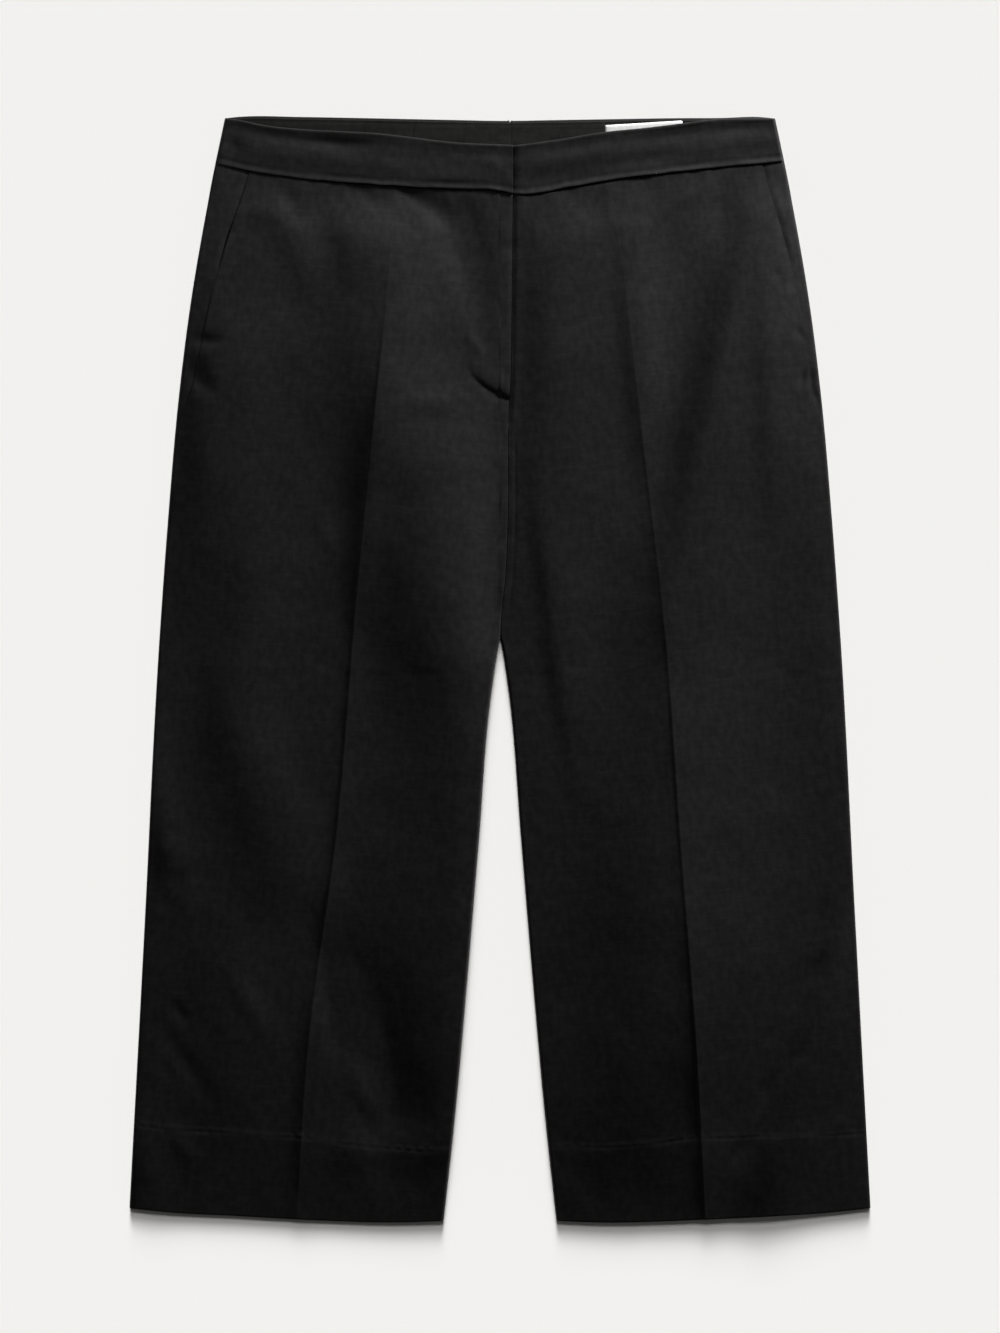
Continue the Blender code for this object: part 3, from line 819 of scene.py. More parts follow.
@dataclass
class LegPanel:
    """A front or a back: one leg from its centre seam and inseam to its side seam.

    Attributes:
        side: The wearer's side.
        crease_share: The crease's share of the way across.
        edge_step, open_step, crease_step: Steps between columns there, as shares.
        crease_fine, edge_fine: How far from there the steps take to open.
        inner_fine: How far from the inner edge they stay close before that.
        row_step, fine_step: Usual steps between rows, and the closest.
        band_step, hem_edge_step: Steps at the upper seam and at the hem's edge.
        hem_edge, band_edge: How far from those two the rows are close.
        stitched: How far below and above the hem's depth they are close.
        settle, fine_settle: How far outside such stretches the steps take to open again.
        fine_rows: Heights between which the rows are closest.
        seam_turn_radius: The radius of the turn at a centre seam.
        crotch_blend: How far the edge takes to change from the inseam's turn to the seam's.
        foot_at, head_at: Where the side edge's foot and the crease's head are measured.
    """

    side: Side
    crease_share: float = 0.46
    edge_step: float = 0.0042
    open_step: float = 0.0125
    crease_step: float = 0.0028
    crease_fine: float = 0.07
    edge_fine: float = 0.06
    inner_fine: float = 0.0
    row_step: float = 2.6
    fine_step: float = 0.85
    band_step: float = 0.6
    hem_edge_step: float = 1.1
    hem_edge: float = 8.0
    band_edge: float = 4.0
    stitched: tuple[float, float] = (6.0, 8.0)
    settle: float = 5.0
    fine_rows: tuple[float, float] | None = None
    fine_settle: float = 12.0
    seam_turn_radius: float = 0.5
    crotch_blend: float = 16.0
    foot_at: float = 250.0
    head_at: float = 180.0

    def below_crotch(self, y: Array) -> Array:
        """Share of the inseam in the inner edge's turn: 1 below the crotch and 0 above."""
        return smooth_step((CROTCH_HEIGHT + self.crotch_blend / 2 - y) / self.crotch_blend)

    def inner_radius(self, y: Array) -> Array:
        """Radius of the inner edge's turn, which is less at the centre seam."""
        return self.seam_turn_radius + (LEG_TURN - self.seam_turn_radius) * self.below_crotch(y)

    def column_shares(self) -> Array:
        """Place the columns closer together at the edges and on the crease.

        Returns:
            The columns' shares of the way across.
        """
        crease, near = self.crease_share, self.crease_fine
        inner = spaced(
            0.0, crease, (self.inner_fine, self.edge_step),
            (self.inner_fine + self.edge_fine, self.open_step),
            (crease - near, self.open_step), (crease, self.crease_step))
        outer = spaced(
            crease, 1.0, (crease, self.crease_step), (crease + near, self.open_step),
            (1.0 - self.edge_fine, self.open_step), (1.0, self.edge_step))
        return np.concatenate([inner, outer[1:]])

    def row_shares(self, length: float) -> Array:
        """Place the rows closer together at the hem, its stitches and the band.

        Args:
            length: The panel's length from its hem to its head.

        Returns:
            The rows' shares of the way up.
        """
        fine = ()
        if self.fine_rows:
            start, end = (height - HEM_LINE[2].height for height in self.fine_rows)
            fine = (
                (start - self.fine_settle, self.row_step), (start, self.fine_step),
                (end, self.fine_step), (end + self.fine_settle, self.row_step),
            )
        low, high = HEM_DEPTH - self.stitched[0], HEM_DEPTH + self.stitched[1]
        head = length - self.band_edge
        rows = spaced(
            0.0, length, (0.0, self.hem_edge_step), (self.hem_edge, self.row_step),
            (low - self.settle, self.row_step), (low, self.fine_step),
            (high, self.fine_step), (high + self.settle, self.row_step), *fine,
            (head - self.settle, self.row_step), (head, self.band_step),
            (length, self.band_step))
        return rows / length

    def spread(self, shares: Array, start: Array, middle: Array, end: Array) -> Array:
        """Give places for shares of the way across, with the crease's share on the crease.

        Args:
            shares: The columns' shares.
            start: Each row's inner edge.
            middle: Each row's crease.
            end: Each row's outer edge.

        Returns:
            Places across.
        """
        low = shares / self.crease_share
        high = (shares - self.crease_share) / (1.0 - self.crease_share)
        inner = start + (middle - start) * low
        outer = middle + (end - middle) * high
        return np.where(shares <= self.crease_share, inner, outer)

    def lay_out(
        self, head: Line, inner: Edge, outer: Edge
    ) -> tuple[Array, Array, Array]:
        """Lay out the panel's grid in plan, with its edges turned over.

        A column's height at a row is the row's share of the way from the hem to the head.

        Args:
            head: Height of the upper seam at a place across.
            inner: The inner edge.
            outer: The outer edge.

        Returns:
            Places across, heights up the garment, and drops round the turned edges.
        """
        shares, sign = self.column_shares(), self.side.value
        foot_y = np.array([Outline.hem(np.array(sign * self.foot_at))])
        head_y = np.array([head(np.array(sign * self.head_at))])
        foot_x, head_x = (
            self.spread(shares, inner.place(y), Outline.crease(y, self.side), outer.place(y))
            for y in (foot_y, head_y)
        )
        low, high = Outline.hem(foot_x) + FOLD_RADIUS, head(head_x)
        rows = self.row_shares(float(np.median(high - low)))
        y = low[None, :] + rows[:, None] * (high - low)[None, :]
        inner_y, outer_y = y[:, 0], y[:, -1]
        inner_columns = turned(inner.place(inner_y), sign, *inner.turn(inner_y))
        outer_columns = turned(outer.place(outer_y), -sign, *outer.turn(outer_y))
        flat = self.spread(
            shares[None, :], inner_columns.across[:, -1:], Outline.crease(y, self.side),
            outer_columns.across[:, -1:])
        columns = between(inner_columns, flat, outer_columns)
        turns = inner_columns.across.shape[1] - 1
        y = np.hstack([np.repeat(y[:, :1], turns, 1), y, np.repeat(y[:, -1:], turns, 1)])
        return columns.across, y, columns.drop

    def thread_places(self, x: Array, y: Array) -> Array:
        """Give places along the weft and the warp, whose warp runs along the pressed crease.

        Args:
            x: Places across.
            y: Heights up the garment.

        Returns:
            The two places at each point.
        """
        top, foot = CREASE[self.side][0], CREASE[self.side][-1]
        along = np.array([top.across - foot.across, top.height - foot.height])
        along /= np.linalg.norm(along)
        return np.dstack([x * along[1] - y * along[0], x * along[0] + y * along[1]])

    def with_hem(self, name: str, grid: Array, outward: float, rubbed: Array) -> Sheet:
        """Turn a panel's hem up inside it, and make it a sheet.

        Args:
            name: The piece's name.
            grid: Points of the outer face, up from the hem's edge.
            outward: The sign of Z that the outer face looks towards.
            rubbed: How much lighter the cloth is painted at each point.

        Returns:
            The whole sheet, from the top of its turned-up hem to its upper seam.
        """
        sign = outward * self.side.value
        column = grid.shape[1] // 2
        above = grid[:, column, 1] - grid[0, column, 1]
        depth_rows = np.flatnonzero(above <= HEM_DEPTH)[::3]
        under = folded_edge(grid, sign, FOLD_RADIUS, depth_rows)
        points = np.concatenate([under, grid])
        steps = np.linalg.norm(np.diff(points[: len(under) + 1], axis=0), axis=2)
        back = np.cumsum(steps[::-1], axis=0)[::-1]
        unfolded = grid[:1, :, 1] - back
        y = np.concatenate([unfolded, grid[:, :, 1]])
        x = np.concatenate([np.repeat(grid[:1, :, 0], len(under), 0), grid[:, :, 0]])
        # The hem's folded edge is painted lighter, as wear; the mask also holds painted highlights.
        edge = bell(y - Outline.hem(x), HEM_RUB)
        wear_and_sheen_mask = np.concatenate([np.zeros(under.shape[:2]), rubbed])
        return Sheet(name, points, self.thread_places(x, y), np.maximum(wear_and_sheen_mask, edge), sign < 0)


@dataclass(frozen=True)
class HemStitches:
    """The doubled hem's step down at its upper edge, and its blind stitches' dimples.

    Attributes:
        step: How far the doubled cloth stands up.
        step_down: Where it comes down, from the stitched line upwards.
        pitch: From one stitch to the next.
        usual: A stitch's usual strength.
        most: The most that can be.
        line: Where the stitches lie across the line.
        between: Height of the cloth between two stitches.
        pull: How much deeper a stitch is.
        groove: The groove below the line.
    """

    step: float = 0.26
    step_down: Ramp = Ramp(-2.1, 4.2)
    pitch: float = 7.4
    usual: float = 0.45
    most: float = 1.2
    line: Ridge = Ridge(1.0, 0.3, 1.3)
    between: float = 0.16
    pull: float = 0.42
    groove: Ridge = Ridge(-0.24, -1.8, 1.1)

    def relief(self, x: Array, y: Array, side: Side) -> Array:
        """Work out the relief: a smooth step, and a ridge that a squared cosine breaks up.

        Args:
            x: Places across.
            y: Heights up the garment.
            side: The wearer's side.

        Returns:
            The relief at each point.
        """
        above = y - Outline.hem(x) - curve_through(x, STITCH_LINE[side])
        step = self.step * (1.0 - self.step_down.at(above))
        above = above - STITCH_WANDER.at(x, np.zeros_like(x))
        angle = 2 * np.pi * x / self.pitch + STITCH_PITCH.at(x, y)
        stitch = 0.5 + 0.5 * np.cos(angle)
        strength = np.clip(self.usual + STITCH_STRENGTH.at(x, y), 0.0, self.most)
        line = self.line.at(above) * (self.between - self.pull * stitch ** 2)
        return step + strength * (line + self.groove.at(above))


@dataclass(frozen=True)
class DragCrease:
    """The sharp pull from the fly's foot: the cloth above its line stands over that below.

    Attributes:
        upper: The cloth above the line.
        steep: How far it takes to come up from the line.
        lower: The cloth below the line, which sinks to it.
        start: Where the crease starts, across.
    """

    upper: Ridge = Ridge(0.9, 0.0, 14.0)
    steep: float = 2.6
    lower: Ridge = Ridge(-0.5, 0.0, 4.0)
    start: Ramp = Ramp(-25.5, 15.0)

    def relief(self, x: Array, y: Array) -> Array:
        """Work out the relief.

        Below the line the cloth sinks to it as a bell. Above the line it comes up steeply, by
        e to the minus the distance, and goes down again slowly, as a wide bell.

        Args:
            x: Places across.
            y: Heights up the garment.

        Returns:
            The relief at each point.
        """
        slope = curve_through(x + 0.5, DRAG_LINE) - curve_through(x - 0.5, DRAG_LINE)
        above = (y - curve_through(x, DRAG_LINE)) / np.sqrt(1.0 + slope ** 2)
        over = np.maximum(above, 0.0)
        near = np.exp(-over / self.steep)
        upper = self.upper.at(over) * (1.0 - near) + self.lower.rise * near
        return np.where(above < 0.0, self.lower.at(above), upper) * self.start.at(x)


@dataclass(frozen=True)
class FrontSeams:
    """Fine relief along a front's seams: the band's pull, the allowances and the lapped fly.

    Attributes:
        pucker, groove: The puckers below the band, and the groove at it.
        usual: The groove's usual share of its depth.
        dip, dip_start: The dip along the centre seam, and heights over which it deepens.
        allowance: The mark of the left front's seam allowance, beside the centre seam.
        allowance_start, allowance_end: Heights over which it starts, and ends below the fly.
        under, under_end: How far the left front drops under the right, and to where.
        beside, beside_end: How far it still lies low beside the lap, and to where.
        pull, pull_start: The unevenness along the centre seam, and where it starts.
    """

    pucker: Ridge = Ridge(0.22, 0.0, 12.0)
    groove: Ridge = Ridge(-0.34, 0.0, 1.1)
    usual: float = 0.7
    dip: Ridge = Ridge(-0.2, 0.5, 2.0)
    dip_start: Ramp = Ramp(40.0, 40.0)
    allowance: Ridge = Ridge(-0.22, 4.8, 1.2)
    allowance_start: Ramp = Ramp(30.0, 20.0)
    allowance_end: Ramp = Ramp(FLY_FOOT - 30.0, 20.0)
    under: float = 0.8
    under_end: Ramp = Ramp(-1.4, 1.6)
    beside: float = 0.4
    beside_end: Ramp = Ramp(0.2, 3.4)
    pull: Ridge = Ridge(0.2, 0.0, 9.0)
    pull_start: Ramp = Ramp(CROTCH_HEIGHT, 30.0)

    def relief(self, x: Array, y: Array, side: Side) -> Array:
        """Add up the relief along the band's seam, the centre seam and the fly.

        Args:
            x: Places across.
            y: Heights up the garment.
            side: The wearer's side.

        Returns:
            The relief at each point.
        """
        from_band = Outline.band_seam(x, side) - y
        past_seam = x - curve_through(y, FRONT_SEAM)
        from_seam = np.abs(past_seam)
        relief = BAND_PUCKER.at(x, from_band) * self.pucker.at(from_band)
        broken = self.usual + SEAM_BREAK.at(x, from_band)
        relief = relief + broken * self.groove.at(from_band)
        relief = relief + self.dip.at(past_seam) * self.dip_start.at(y)
        relief = relief + SEAM_PULL.at(x, y) * self.pull.at(from_seam) * self.pull_start.at(y)
        if side is Side.LEFT:
            along = self.allowance_start.at(y) * (1.0 - self.allowance_end.at(y))
            relief = relief + self.allowance.at(from_seam) * along
            under = self.under * (1.0 - self.under_end.at(past_seam))
            beside = self.beside * (1.0 - self.beside_end.at(past_seam))
            relief = relief - (under + beside) * Outline.along_fly(y)
        return relief


@dataclass
class FrontPanel(LegPanel):
    """A front, with its folds, its pressed crease and its slanted pocket edge.

    Attributes:
        loft: How far the cloth rises off the back away from its edges.
        edge_reach, edge_share: How far in that rise takes, and its share at an edge.
        seam_reach: How far in from the centre seam the two fronts share one height.
        crease_reach, crest_reach: Reaches towards -X and +X of the pressed ridge and its edge.
        fly_lap: How far the left front goes on under the right along the fly.
        seam_turn, fly_turn: Degrees that an edge turns at the centre seam and at the fly.
        mouth_radius: Radius of the pocket edge's turn at its foot.
        mouth_roll, roll_start: How much wider it rolls near the band, and from where.
        hem_reach, band_reach: How far in from the hem and the band the folds reach full height.
        at_band: How high over the flat cloth's face the front meets the band.
        inseam_end: Heights over which the inner edge comes up from the inseam.
        mouth_rise: How much higher the front stands along the pocket's mouth.
        mouth_start, mouth_foot: Places past it, and heights over its foot, where that starts.
        rubbed: The line along the crease's lit +X side that is painted lighter, a
        painted highlight of the crease's sheen.
    """

    loft: float = 1.2
    edge_reach: float = 16.0
    edge_share: float = 0.92
    seam_reach: float = 16.0
    crease_reach: tuple[float, float] = (9.5, 24.0)
    crest_reach: tuple[float, float] = (2.6, 14.0)
    fly_lap: float = 4.0
    seam_turn: float = 60.0
    fly_turn: float = 12.0
    mouth_radius: float = 0.45
    mouth_roll: float = 0.7
    roll_start: Ramp = Ramp(258.0, 30.0)
    hem_reach: float = 60.0
    band_reach: float = 38.0
    at_band: float = 1.3
    inseam_end: Ramp = Ramp(CROTCH_HEIGHT - 20.0, 50.0)
    mouth_rise: float = 0.15
    mouth_start: Ramp = Ramp(-30.0, 30.0)
    mouth_foot: Ramp = Ramp(-20.0, 24.0)
    # A painted highlight: a lighter line just on the crease's lit +X side.
    rubbed: Ridge = Ridge(0.2, 0.6, 0.9)

    def inner_place(self, y: Array) -> Array:
        """Give the inner edge's place: the left front's goes on under the right's at the fly."""
        lap = self.fly_lap if self.side is Side.LEFT else 0.0
        return Outline.inner(y, self.side, FRONT_SEAM) - lap * Outline.along_fly(y)

    def inner_turn(self, y: Array) -> tuple[Array, Array]:
        """Give the inner edge's turn: a quarter below the crotch, softer above.

        Args:
            y: Heights up the garment.

        Returns:
            Angles in radians, and radii.
        """
        lapped = Outline.along_fly(y)
        turn = np.radians(self.seam_turn) * (1.0 - lapped)
        if self.side is Side.RIGHT:
            turn = turn + np.radians(self.fly_turn) * lapped
        return turn + (QUARTER - turn) * self.below_crotch(y), self.inner_radius(y)

    def outer_place(self, y: Array) -> Array:
        """Give the outer edge's place: the side seam, and the pocket's mouth above its foot."""
        return Outline.pocket(y, self.side)

    def outer_turn(self, y: Array) -> tuple[Array, Array]:
        """Give the outer edge's turn, which is less at the pocket's mouth.

        Args:
            y: Heights up the garment.

        Returns:
            Angles in radians, and radii.
        """
        mouth = Outline.along_mouth(y)
        turn = QUARTER + (np.radians(MOUTH_TURN[self.side]) - QUARTER) * mouth
        rolled = self.mouth_radius + self.mouth_roll * self.roll_start.at(y)
        return turn, LEG_TURN + (rolled - LEG_TURN) * mouth

    def folds(self, x: Array, y: Array) -> Array:
        """Add up the folds: each a bell across its line that fades over its ends.

        Args:
            x: Places across.
            y: Heights up the garment.

        Returns:
            The relief at each point.
        """
        relief = np.zeros_like(x)
        for ridge in FOLDS[self.side]:
            top, foot = ridge.line[0].height, ridge.line[-1].height
            fade = FOLD_FADE * (top - foot)
            ends = smooth_step((top - y) / fade) * smooth_step((y - foot) / fade)
            offset = x - curve_through(y, ridge.line)
            reach = np.where(offset < 0, ridge.left, ridge.right)
            relief += ridge.rise * ends * bell(offset, reach)
        return relief

    def dents(self, x: Array, y: Array) -> Array:
        """Add up the front's short creases."""
        return short_creases(x, y, DENTS[self.side])

    def near_crease(self, x: Array, y: Array, reaches: tuple[float, float]) -> Array:
        """Give 1 less the distance from the crease over the reach on that side, down to 0.

        Args:
            x: Places across.
            y: Heights up the garment.
            reaches: Reaches towards -X and towards +X.

        Returns:
            The share at each point.
        """
        offset = x - Outline.crease(y, self.side)
        reach = np.where(offset < 0, *reaches)
        return 1.0 - np.clip(np.abs(offset) / reach, 0.0, 1.0)

    def pressed_crease(self, x: Array, y: Array) -> Array:
        """Work out the pressed ridge, which comes to an edge: the share to the power 1.5."""
        near = self.near_crease(x, y, self.crease_reach)
        return curve_through(y, CREASE_RISE[self.side]) * near ** 1.5

    def crest(self, x: Array, y: Array) -> Array:
        """Work out the crease's own edge: the share to the power 1.3, unevenly worn."""
        rise = curve_through(y, CREST_RISE[self.side]) * (1.0 + CREST_WEAR.at(x, y))
        return rise * self.near_crease(x, y, self.crest_reach) ** 1.3

    def height(self, x: Array, y: Array) -> Array:
        """Give the outer face's height: its form, and the fine relief away from the side."""
        return self.form(x, y) + self.fine_relief(x, y) * Outline.off_side(x, y)

    def kept(self, x: Array, y: Array) -> Array:
        """Give the share of the loft and folds that is kept near the edges and the hem.

        Args:
            x: Places across.
            y: Heights up the garment.

        Returns:
            The share at each point.
        """
        from_side = Outline.side(y) - np.abs(x)
        from_inseam = np.abs(x) - curve_through(y, INSEAM)
        inner = np.maximum(smooth_step(from_inseam / self.edge_reach), self.inseam_end.at(y))
        edges = smooth_step(from_side / self.edge_reach) * inner
        edges = self.edge_share + (1.0 - self.edge_share) * edges
        least = HEM_SHARE[self.side]
        return edges * (
            least + (1.0 - least) * smooth_step((y - Outline.hem(x)) / self.hem_reach))

    def form(self, x: Array, y: Array) -> Array:
        """Give the outer face's height without its fine relief.

        It is the face of the flat cloth plus a soft part, which is the loft, the folds and
        the crease together, times shares that bring it down to the edges, the hem and the
        band.

        Args:
            x: Places across.
            y: Heights up the garment.

        Returns:
            Heights above the surface.
        """
        soft = self.loft + self.folds(x, y) + self.pressed_crease(x, y)
        joined = bell(x - curve_through(y, FRONT_SEAM), self.seam_reach) * self.inseam_end.at(y)
        soft = soft + (self.loft - soft) * joined
        band = smooth_step((Outline.band_seam(x, self.side) - y) / self.band_reach)
        raised = soft_floor(soft) * self.kept(x, y) * band + self.at_band * (1.0 - band)
        past_mouth = np.abs(x) - np.abs(Outline.pocket(y, self.side))
        mouth = self.mouth_start.at(past_mouth) * self.mouth_foot.at(y - POCKET_FOOT[self.side])
        return FRONT_FACE + raised + self.mouth_rise * mouth

    def fine_relief(self, x: Array, y: Array) -> Array:
        """Add up the short creases, the stitches, the seams and the low unevenness.

        Args:
            x: Places across.
            y: Heights up the garment.

        Returns:
            The relief at each point.
        """
        fine = self.dents(x, y) + HemStitches().relief(x, y, self.side)
        if self.side is Side.RIGHT:
            fine = fine + DragCrease().relief(x, y)
        fine = fine + self.crest(x, y) + FrontSeams().relief(x, y, self.side)
        return fine + FRONT_WAVES.at(x, y) + FRONT_GRAIN.at(x, y)

    def sheet(self) -> Sheet:
        """Lay the front out, raise it and turn its hem up.

        Returns:
            The front as one sheet.
        """
        x, y, drop = self.lay_out(
            lambda place: Outline.band_seam(place, self.side) + UNDER_BAND,
            Edge(self.inner_place, self.inner_turn), Edge(self.outer_place, self.outer_turn))
        grid = np.dstack([x, y, self.height(x, y) - drop * drawn_out(self.form(x, y), y)])
        # The crease's lit side is painted lighter, a painted highlight.
        rubbed = self.rubbed.at(x - Outline.crease(y, self.side))
        return self.with_hem(f"cloth_front_{self.side.word}", grid, 1.0, rubbed)


@dataclass
class BackPanel(LegPanel):
    """A back, flat on the surface, with its own pressed crease and a few low folds.

    Attributes:
        seam_turn: Degrees that its edge turns at the centre seam.
        edge_reach: How far in from an edge it stays on the surface.
        beside: How far it lifts off the surface beside its crease.
        beside_start: Distances from the crease over which it lifts.
        beside_end: Distances from the crease over which it comes down again.
        waves: Its low folds' middle height.
        wave_lean: How far those folds lean across for each step up.
        hem_reach: How far up from the hem it takes to lift.
        band_reach: How far below its upper seam it comes down again.
        rubbed: How much lighter its crease is painted, a painted sheen as on the fronts.
    """

    open_step: float = 0.02
    edge_step: float = 0.008
    row_step: float = 4.0
    seam_turn: float = 70.0
    edge_reach: float = 20.0
    beside: float = 0.55
    beside_start: Ramp = Ramp(0.0, 9.0)
    beside_end: Ramp = Ramp(0.0, 55.0)
    waves: float = 0.3
    wave_lean: float = 0.35
    hem_reach: float = 30.0
    band_reach: float = 16.0
    # Its crease is painted lighter, a painted sheen as on the fronts.
    rubbed: Ridge = Ridge(0.5, 0.0, 1.0)

    def inner_place(self, y: Array) -> Array:
        """Give the inner edge's place."""
        return Outline.inner(y, self.side, BACK_SEAM)

    def inner_turn(self, y: Array) -> tuple[Array, Array]:
        """Give the inner edge's turn and radius: a quarter below the crotch, a seam's above."""
        turn = np.radians(self.seam_turn)
        return turn + (QUARTER - turn) * self.below_crotch(y), self.inner_radius(y)

    def outer_place(self, y: Array) -> Array:
        """Give the outer edge's place."""
        return self.side.value * Outline.side(y)

    def outer_turn(self, y: Array) -> tuple[Array, Array]:
        """Give the outer edge's turn and radius: a quarter at every height."""
        return np.full_like(y, QUARTER), np.full_like(y, LEG_TURN)

    def height(self, x: Array, y: Array) -> Array:
        """Give the outer face's height: down on its crease, and a little lifted beside it.

        Args:
            x: Places across.
            y: Heights up the garment.

        Returns:
            Heights above the surface.
        """
        from_side = Outline.side(y) - np.abs(x)
        from_inner = np.abs(x - self.inner_place(y))
        edges = smooth_step(from_side / self.edge_reach) * smooth_step(from_inner / self.edge_reach)
        from_crease = np.abs(x - Outline.crease(y, self.side))
        beside = self.beside_start.at(from_crease) * (1.0 - self.beside_end.at(from_crease))
        waves = self.waves + BACK_WAVES[self.side].at(x + self.wave_lean * y, y)
        ends = smooth_step((y - Outline.hem(x)) / self.hem_reach)
        seam = smooth_step((Outline.back_band_seam(x, self.side) - y) / self.band_reach)
        return (self.beside * beside + waves) * edges * ends * seam

    def sheet(self) -> Sheet:
        """Lay the back out on the surface and turn its hem up.

        Returns:
            The back as one sheet.
        """
        x, y, drop = self.lay_out(
            lambda place: Outline.back_band_seam(place, self.side) - SEAM_GAP,
            Edge(self.inner_place, self.inner_turn), Edge(self.outer_place, self.outer_turn))
        grid = np.dstack([x, y, self.height(x, y) + drop])
        rubbed = self.rubbed.at(x - Outline.crease(y, self.side))
        return self.with_hem(f"cloth_back_{self.side.word}", grid, -1.0, rubbed)


@dataclass
class HipPiece:
    """The piece that shows behind a pocket's mouth, and goes on under the front as its bag.

    Attributes:
        side: The wearer's side.
        lap: How far it goes on under the front.
        foot: Its lower edge, hidden where the front's edge meets the side seam.
        row_step, columns: Steps between rows, as shares, and columns from its lap to the side.
        mouth_drop, low_drop: How far it lies under the front's face at the mouth's two ends.
        deeper: Heights over which it comes to lie deeper.
        lip: Places past the mouth over which it comes up to the front's face.
        broken_from: How far before the mouth the drop starts to vary.
        lap_drop, lap_start: How much deeper it lies under the front, and where that starts.
        groove: The groove at the band.
    """

    side: Side
    lap: float = 24.0
    foot: float = POCKET_END - 8.0
    row_step: float = 0.012
    columns: int = 24
    mouth_drop: float = 0.6
    low_drop: float = 0.16
    deeper: Ramp = Ramp(262.0, 40.0)
    lip: Ramp = Ramp(-0.3, 3.2)
    broken_from: float = 2.0
    lap_drop: float = 1.0
    lap_start: Ramp = Ramp(1.0, 6.0)
    groove: Ridge = Ridge(-0.3, 0.0, 1.2)

    def lay_out(self) -> tuple[Array, Array, Array]:
        """Lay the piece out in plan, from its lap under the front to the side seam.

        Returns:
            Places across, heights up the garment, and drops round the turned edge.
        """
        sign = self.side.value
        rows = spaced(0.0, 1.0, (0.0, self.row_step), (1.0, self.row_step))
        corner = Outline.band_seam(np.array(sign * BAND_SEAM_SIDE), self.side)
        y_side = self.foot + (corner + UNDER_BAND - self.foot) * rows
        outer = turned(sign * Outline.side(y_side), -sign, QUARTER, LEG_TURN)
        lap = (Outline.pocket(y_side, self.side) - sign * self.lap)[:, None]
        share = np.linspace(0.0, 1.0, self.columns)[None, :]
        x = np.hstack([lap + (outer.across[:, -1:] - lap) * share, outer.across[:, -2::-1]])
        drop = np.hstack([np.zeros((len(rows), self.columns)), outer.drop[:, -2::-1]])
        top = Outline.band_seam(x, self.side) + UNDER_BAND
        return x, self.foot + (top - self.foot) * rows[:, None], drop

    def under_mouth(self, past_mouth: Array, y: Array, rise: Array) -> Array:
        """Work out how far the piece lies under the front's face at its mouth and its lap.

        Args:
            past_mouth: Distances past the pocket's mouth.
            y: Heights up the garment.
            rise: How far the piece has come up to the front's face, from 0 to 1.

        Returns:
            The depth at each point.
        """
        depth = self.low_drop + (self.mouth_drop - self.low_drop) * self.deeper.at(y)
        varied = MOUTH_BREAK.at(np.zeros_like(y), y) * (past_mouth > -self.broken_from)
        deep = self.lap_drop * self.lap_start.at(-past_mouth)
        return depth * (1.0 + varied) * (1.0 - rise) + deep

    def sheet(self) -> Sheet:
        """Raise the piece: its face carries on the front's, and comes up to it at the mouth.

        Returns:
            The piece as one sheet.
        """
        x, y, drop = self.lay_out()
        front = FrontPanel(self.side)
        face = front.form(x, y) + front.dents(x, y) * Outline.off_side(x, y)
        past_mouth = np.abs(x) - np.abs(Outline.pocket(y, self.side))
        rise = self.lip.at(past_mouth)
        z = face - self.under_mouth(past_mouth, y, rise) - drop * drawn_out(face, y)
        z = z + HIP_WAVES.at(x, y) * rise * (drop == 0.0)
        z = z + self.groove.at(Outline.band_seam(x, self.side) - y)
        return Sheet(f"cloth_hip_{self.side.word}", np.dstack([x, y, z]), np.dstack([x, y]),
                     np.zeros_like(x), self.side is Side.RIGHT)


@dataclass(frozen=True)
class BandRelief:
    """Fine relief of the front band: a proud roll on the seam and a rolled upper edge.

    Attributes:
        roll: Height of the roll on the seam.
        roll_end: Distances up from the seam over which it comes down.
        groove: The groove above it, by the distance up from the seam.
        lip: The rolled upper edge, by the distance down from that edge.
        hollow: The hollow below it, by the same distance.
        tilt: How much higher the band stands at its upper edge.
        waves_start: Distances up from the seam over which the cloth's unevenness starts.
    """

    roll: float = 0.42
    roll_end: Ramp = Ramp(0.3, 2.4)
    groove: Ridge = Ridge(-0.1, 3.8, 1.3)
    lip: Ridge = Ridge(0.14, 0.8, 1.0)
    hollow: Ridge = Ridge(-0.2, 6.5, 3.5)
    tilt: float = 1.2
    waves_start: Ramp = Ramp(0.0, 6.0)

    def relief(self, x: Array, up: Array, height: Array, side: Side) -> Array:
        """Add up the relief.

        Args:
            x: Places across.
            up: Distances up from the seam.
            height: The band's height at each place.
            side: The wearer's side.

        Returns:
            The relief at each point.
        """
        along = 1.0 + BAND_ROLL.at(x, up)
        from_top = height - up
        edges = (self.roll * (1.0 - self.roll_end.at(up)) + self.lip.at(from_top)) * along
        groove = self.groove.at(up) * (1.0 + BAND_GROOVE.at(x, up))
        hollow = self.hollow.at(from_top) * (1.0 + BAND_HOLLOW.at(x, up))
        waves = BAND_WAVES.at(x, up) + BAND_GRAIN.at(x, up)
        dents = short_creases(x, up, BAND_DENTS[side]) + self.tilt * up / height
        return edges + groove + hollow + dents + waves * self.waves_start.at(up)


@dataclass
class Band:
    """Half of a waistband.

    Attributes:
        side: The wearer's side.
        opening_at: Height at which its inner end is measured.
    """

    side: Side
    opening_at: float = 350.0

    def end_turn(self, rise: Array, seam: Line, top: Line) -> Columns:
        """Turn the band's outer end over at the side.

        Args:
            rise: The rows' shares of the way up.
            seam: Height of the band's seam at a place across.
            top: Height of its upper edge at a place across.

        Returns:
            The columns round the end.
        """
        corner = self.side.value * (BAND_SEAM_SIDE + (WAIST_SIDE - BAND_SEAM_SIDE) * rise)
        y = seam(corner) + (top(corner) - seam(corner)) * rise
        return turned(self.side.value * Outline.side(y), -self.side.value, QUARTER, BAND_TURN)


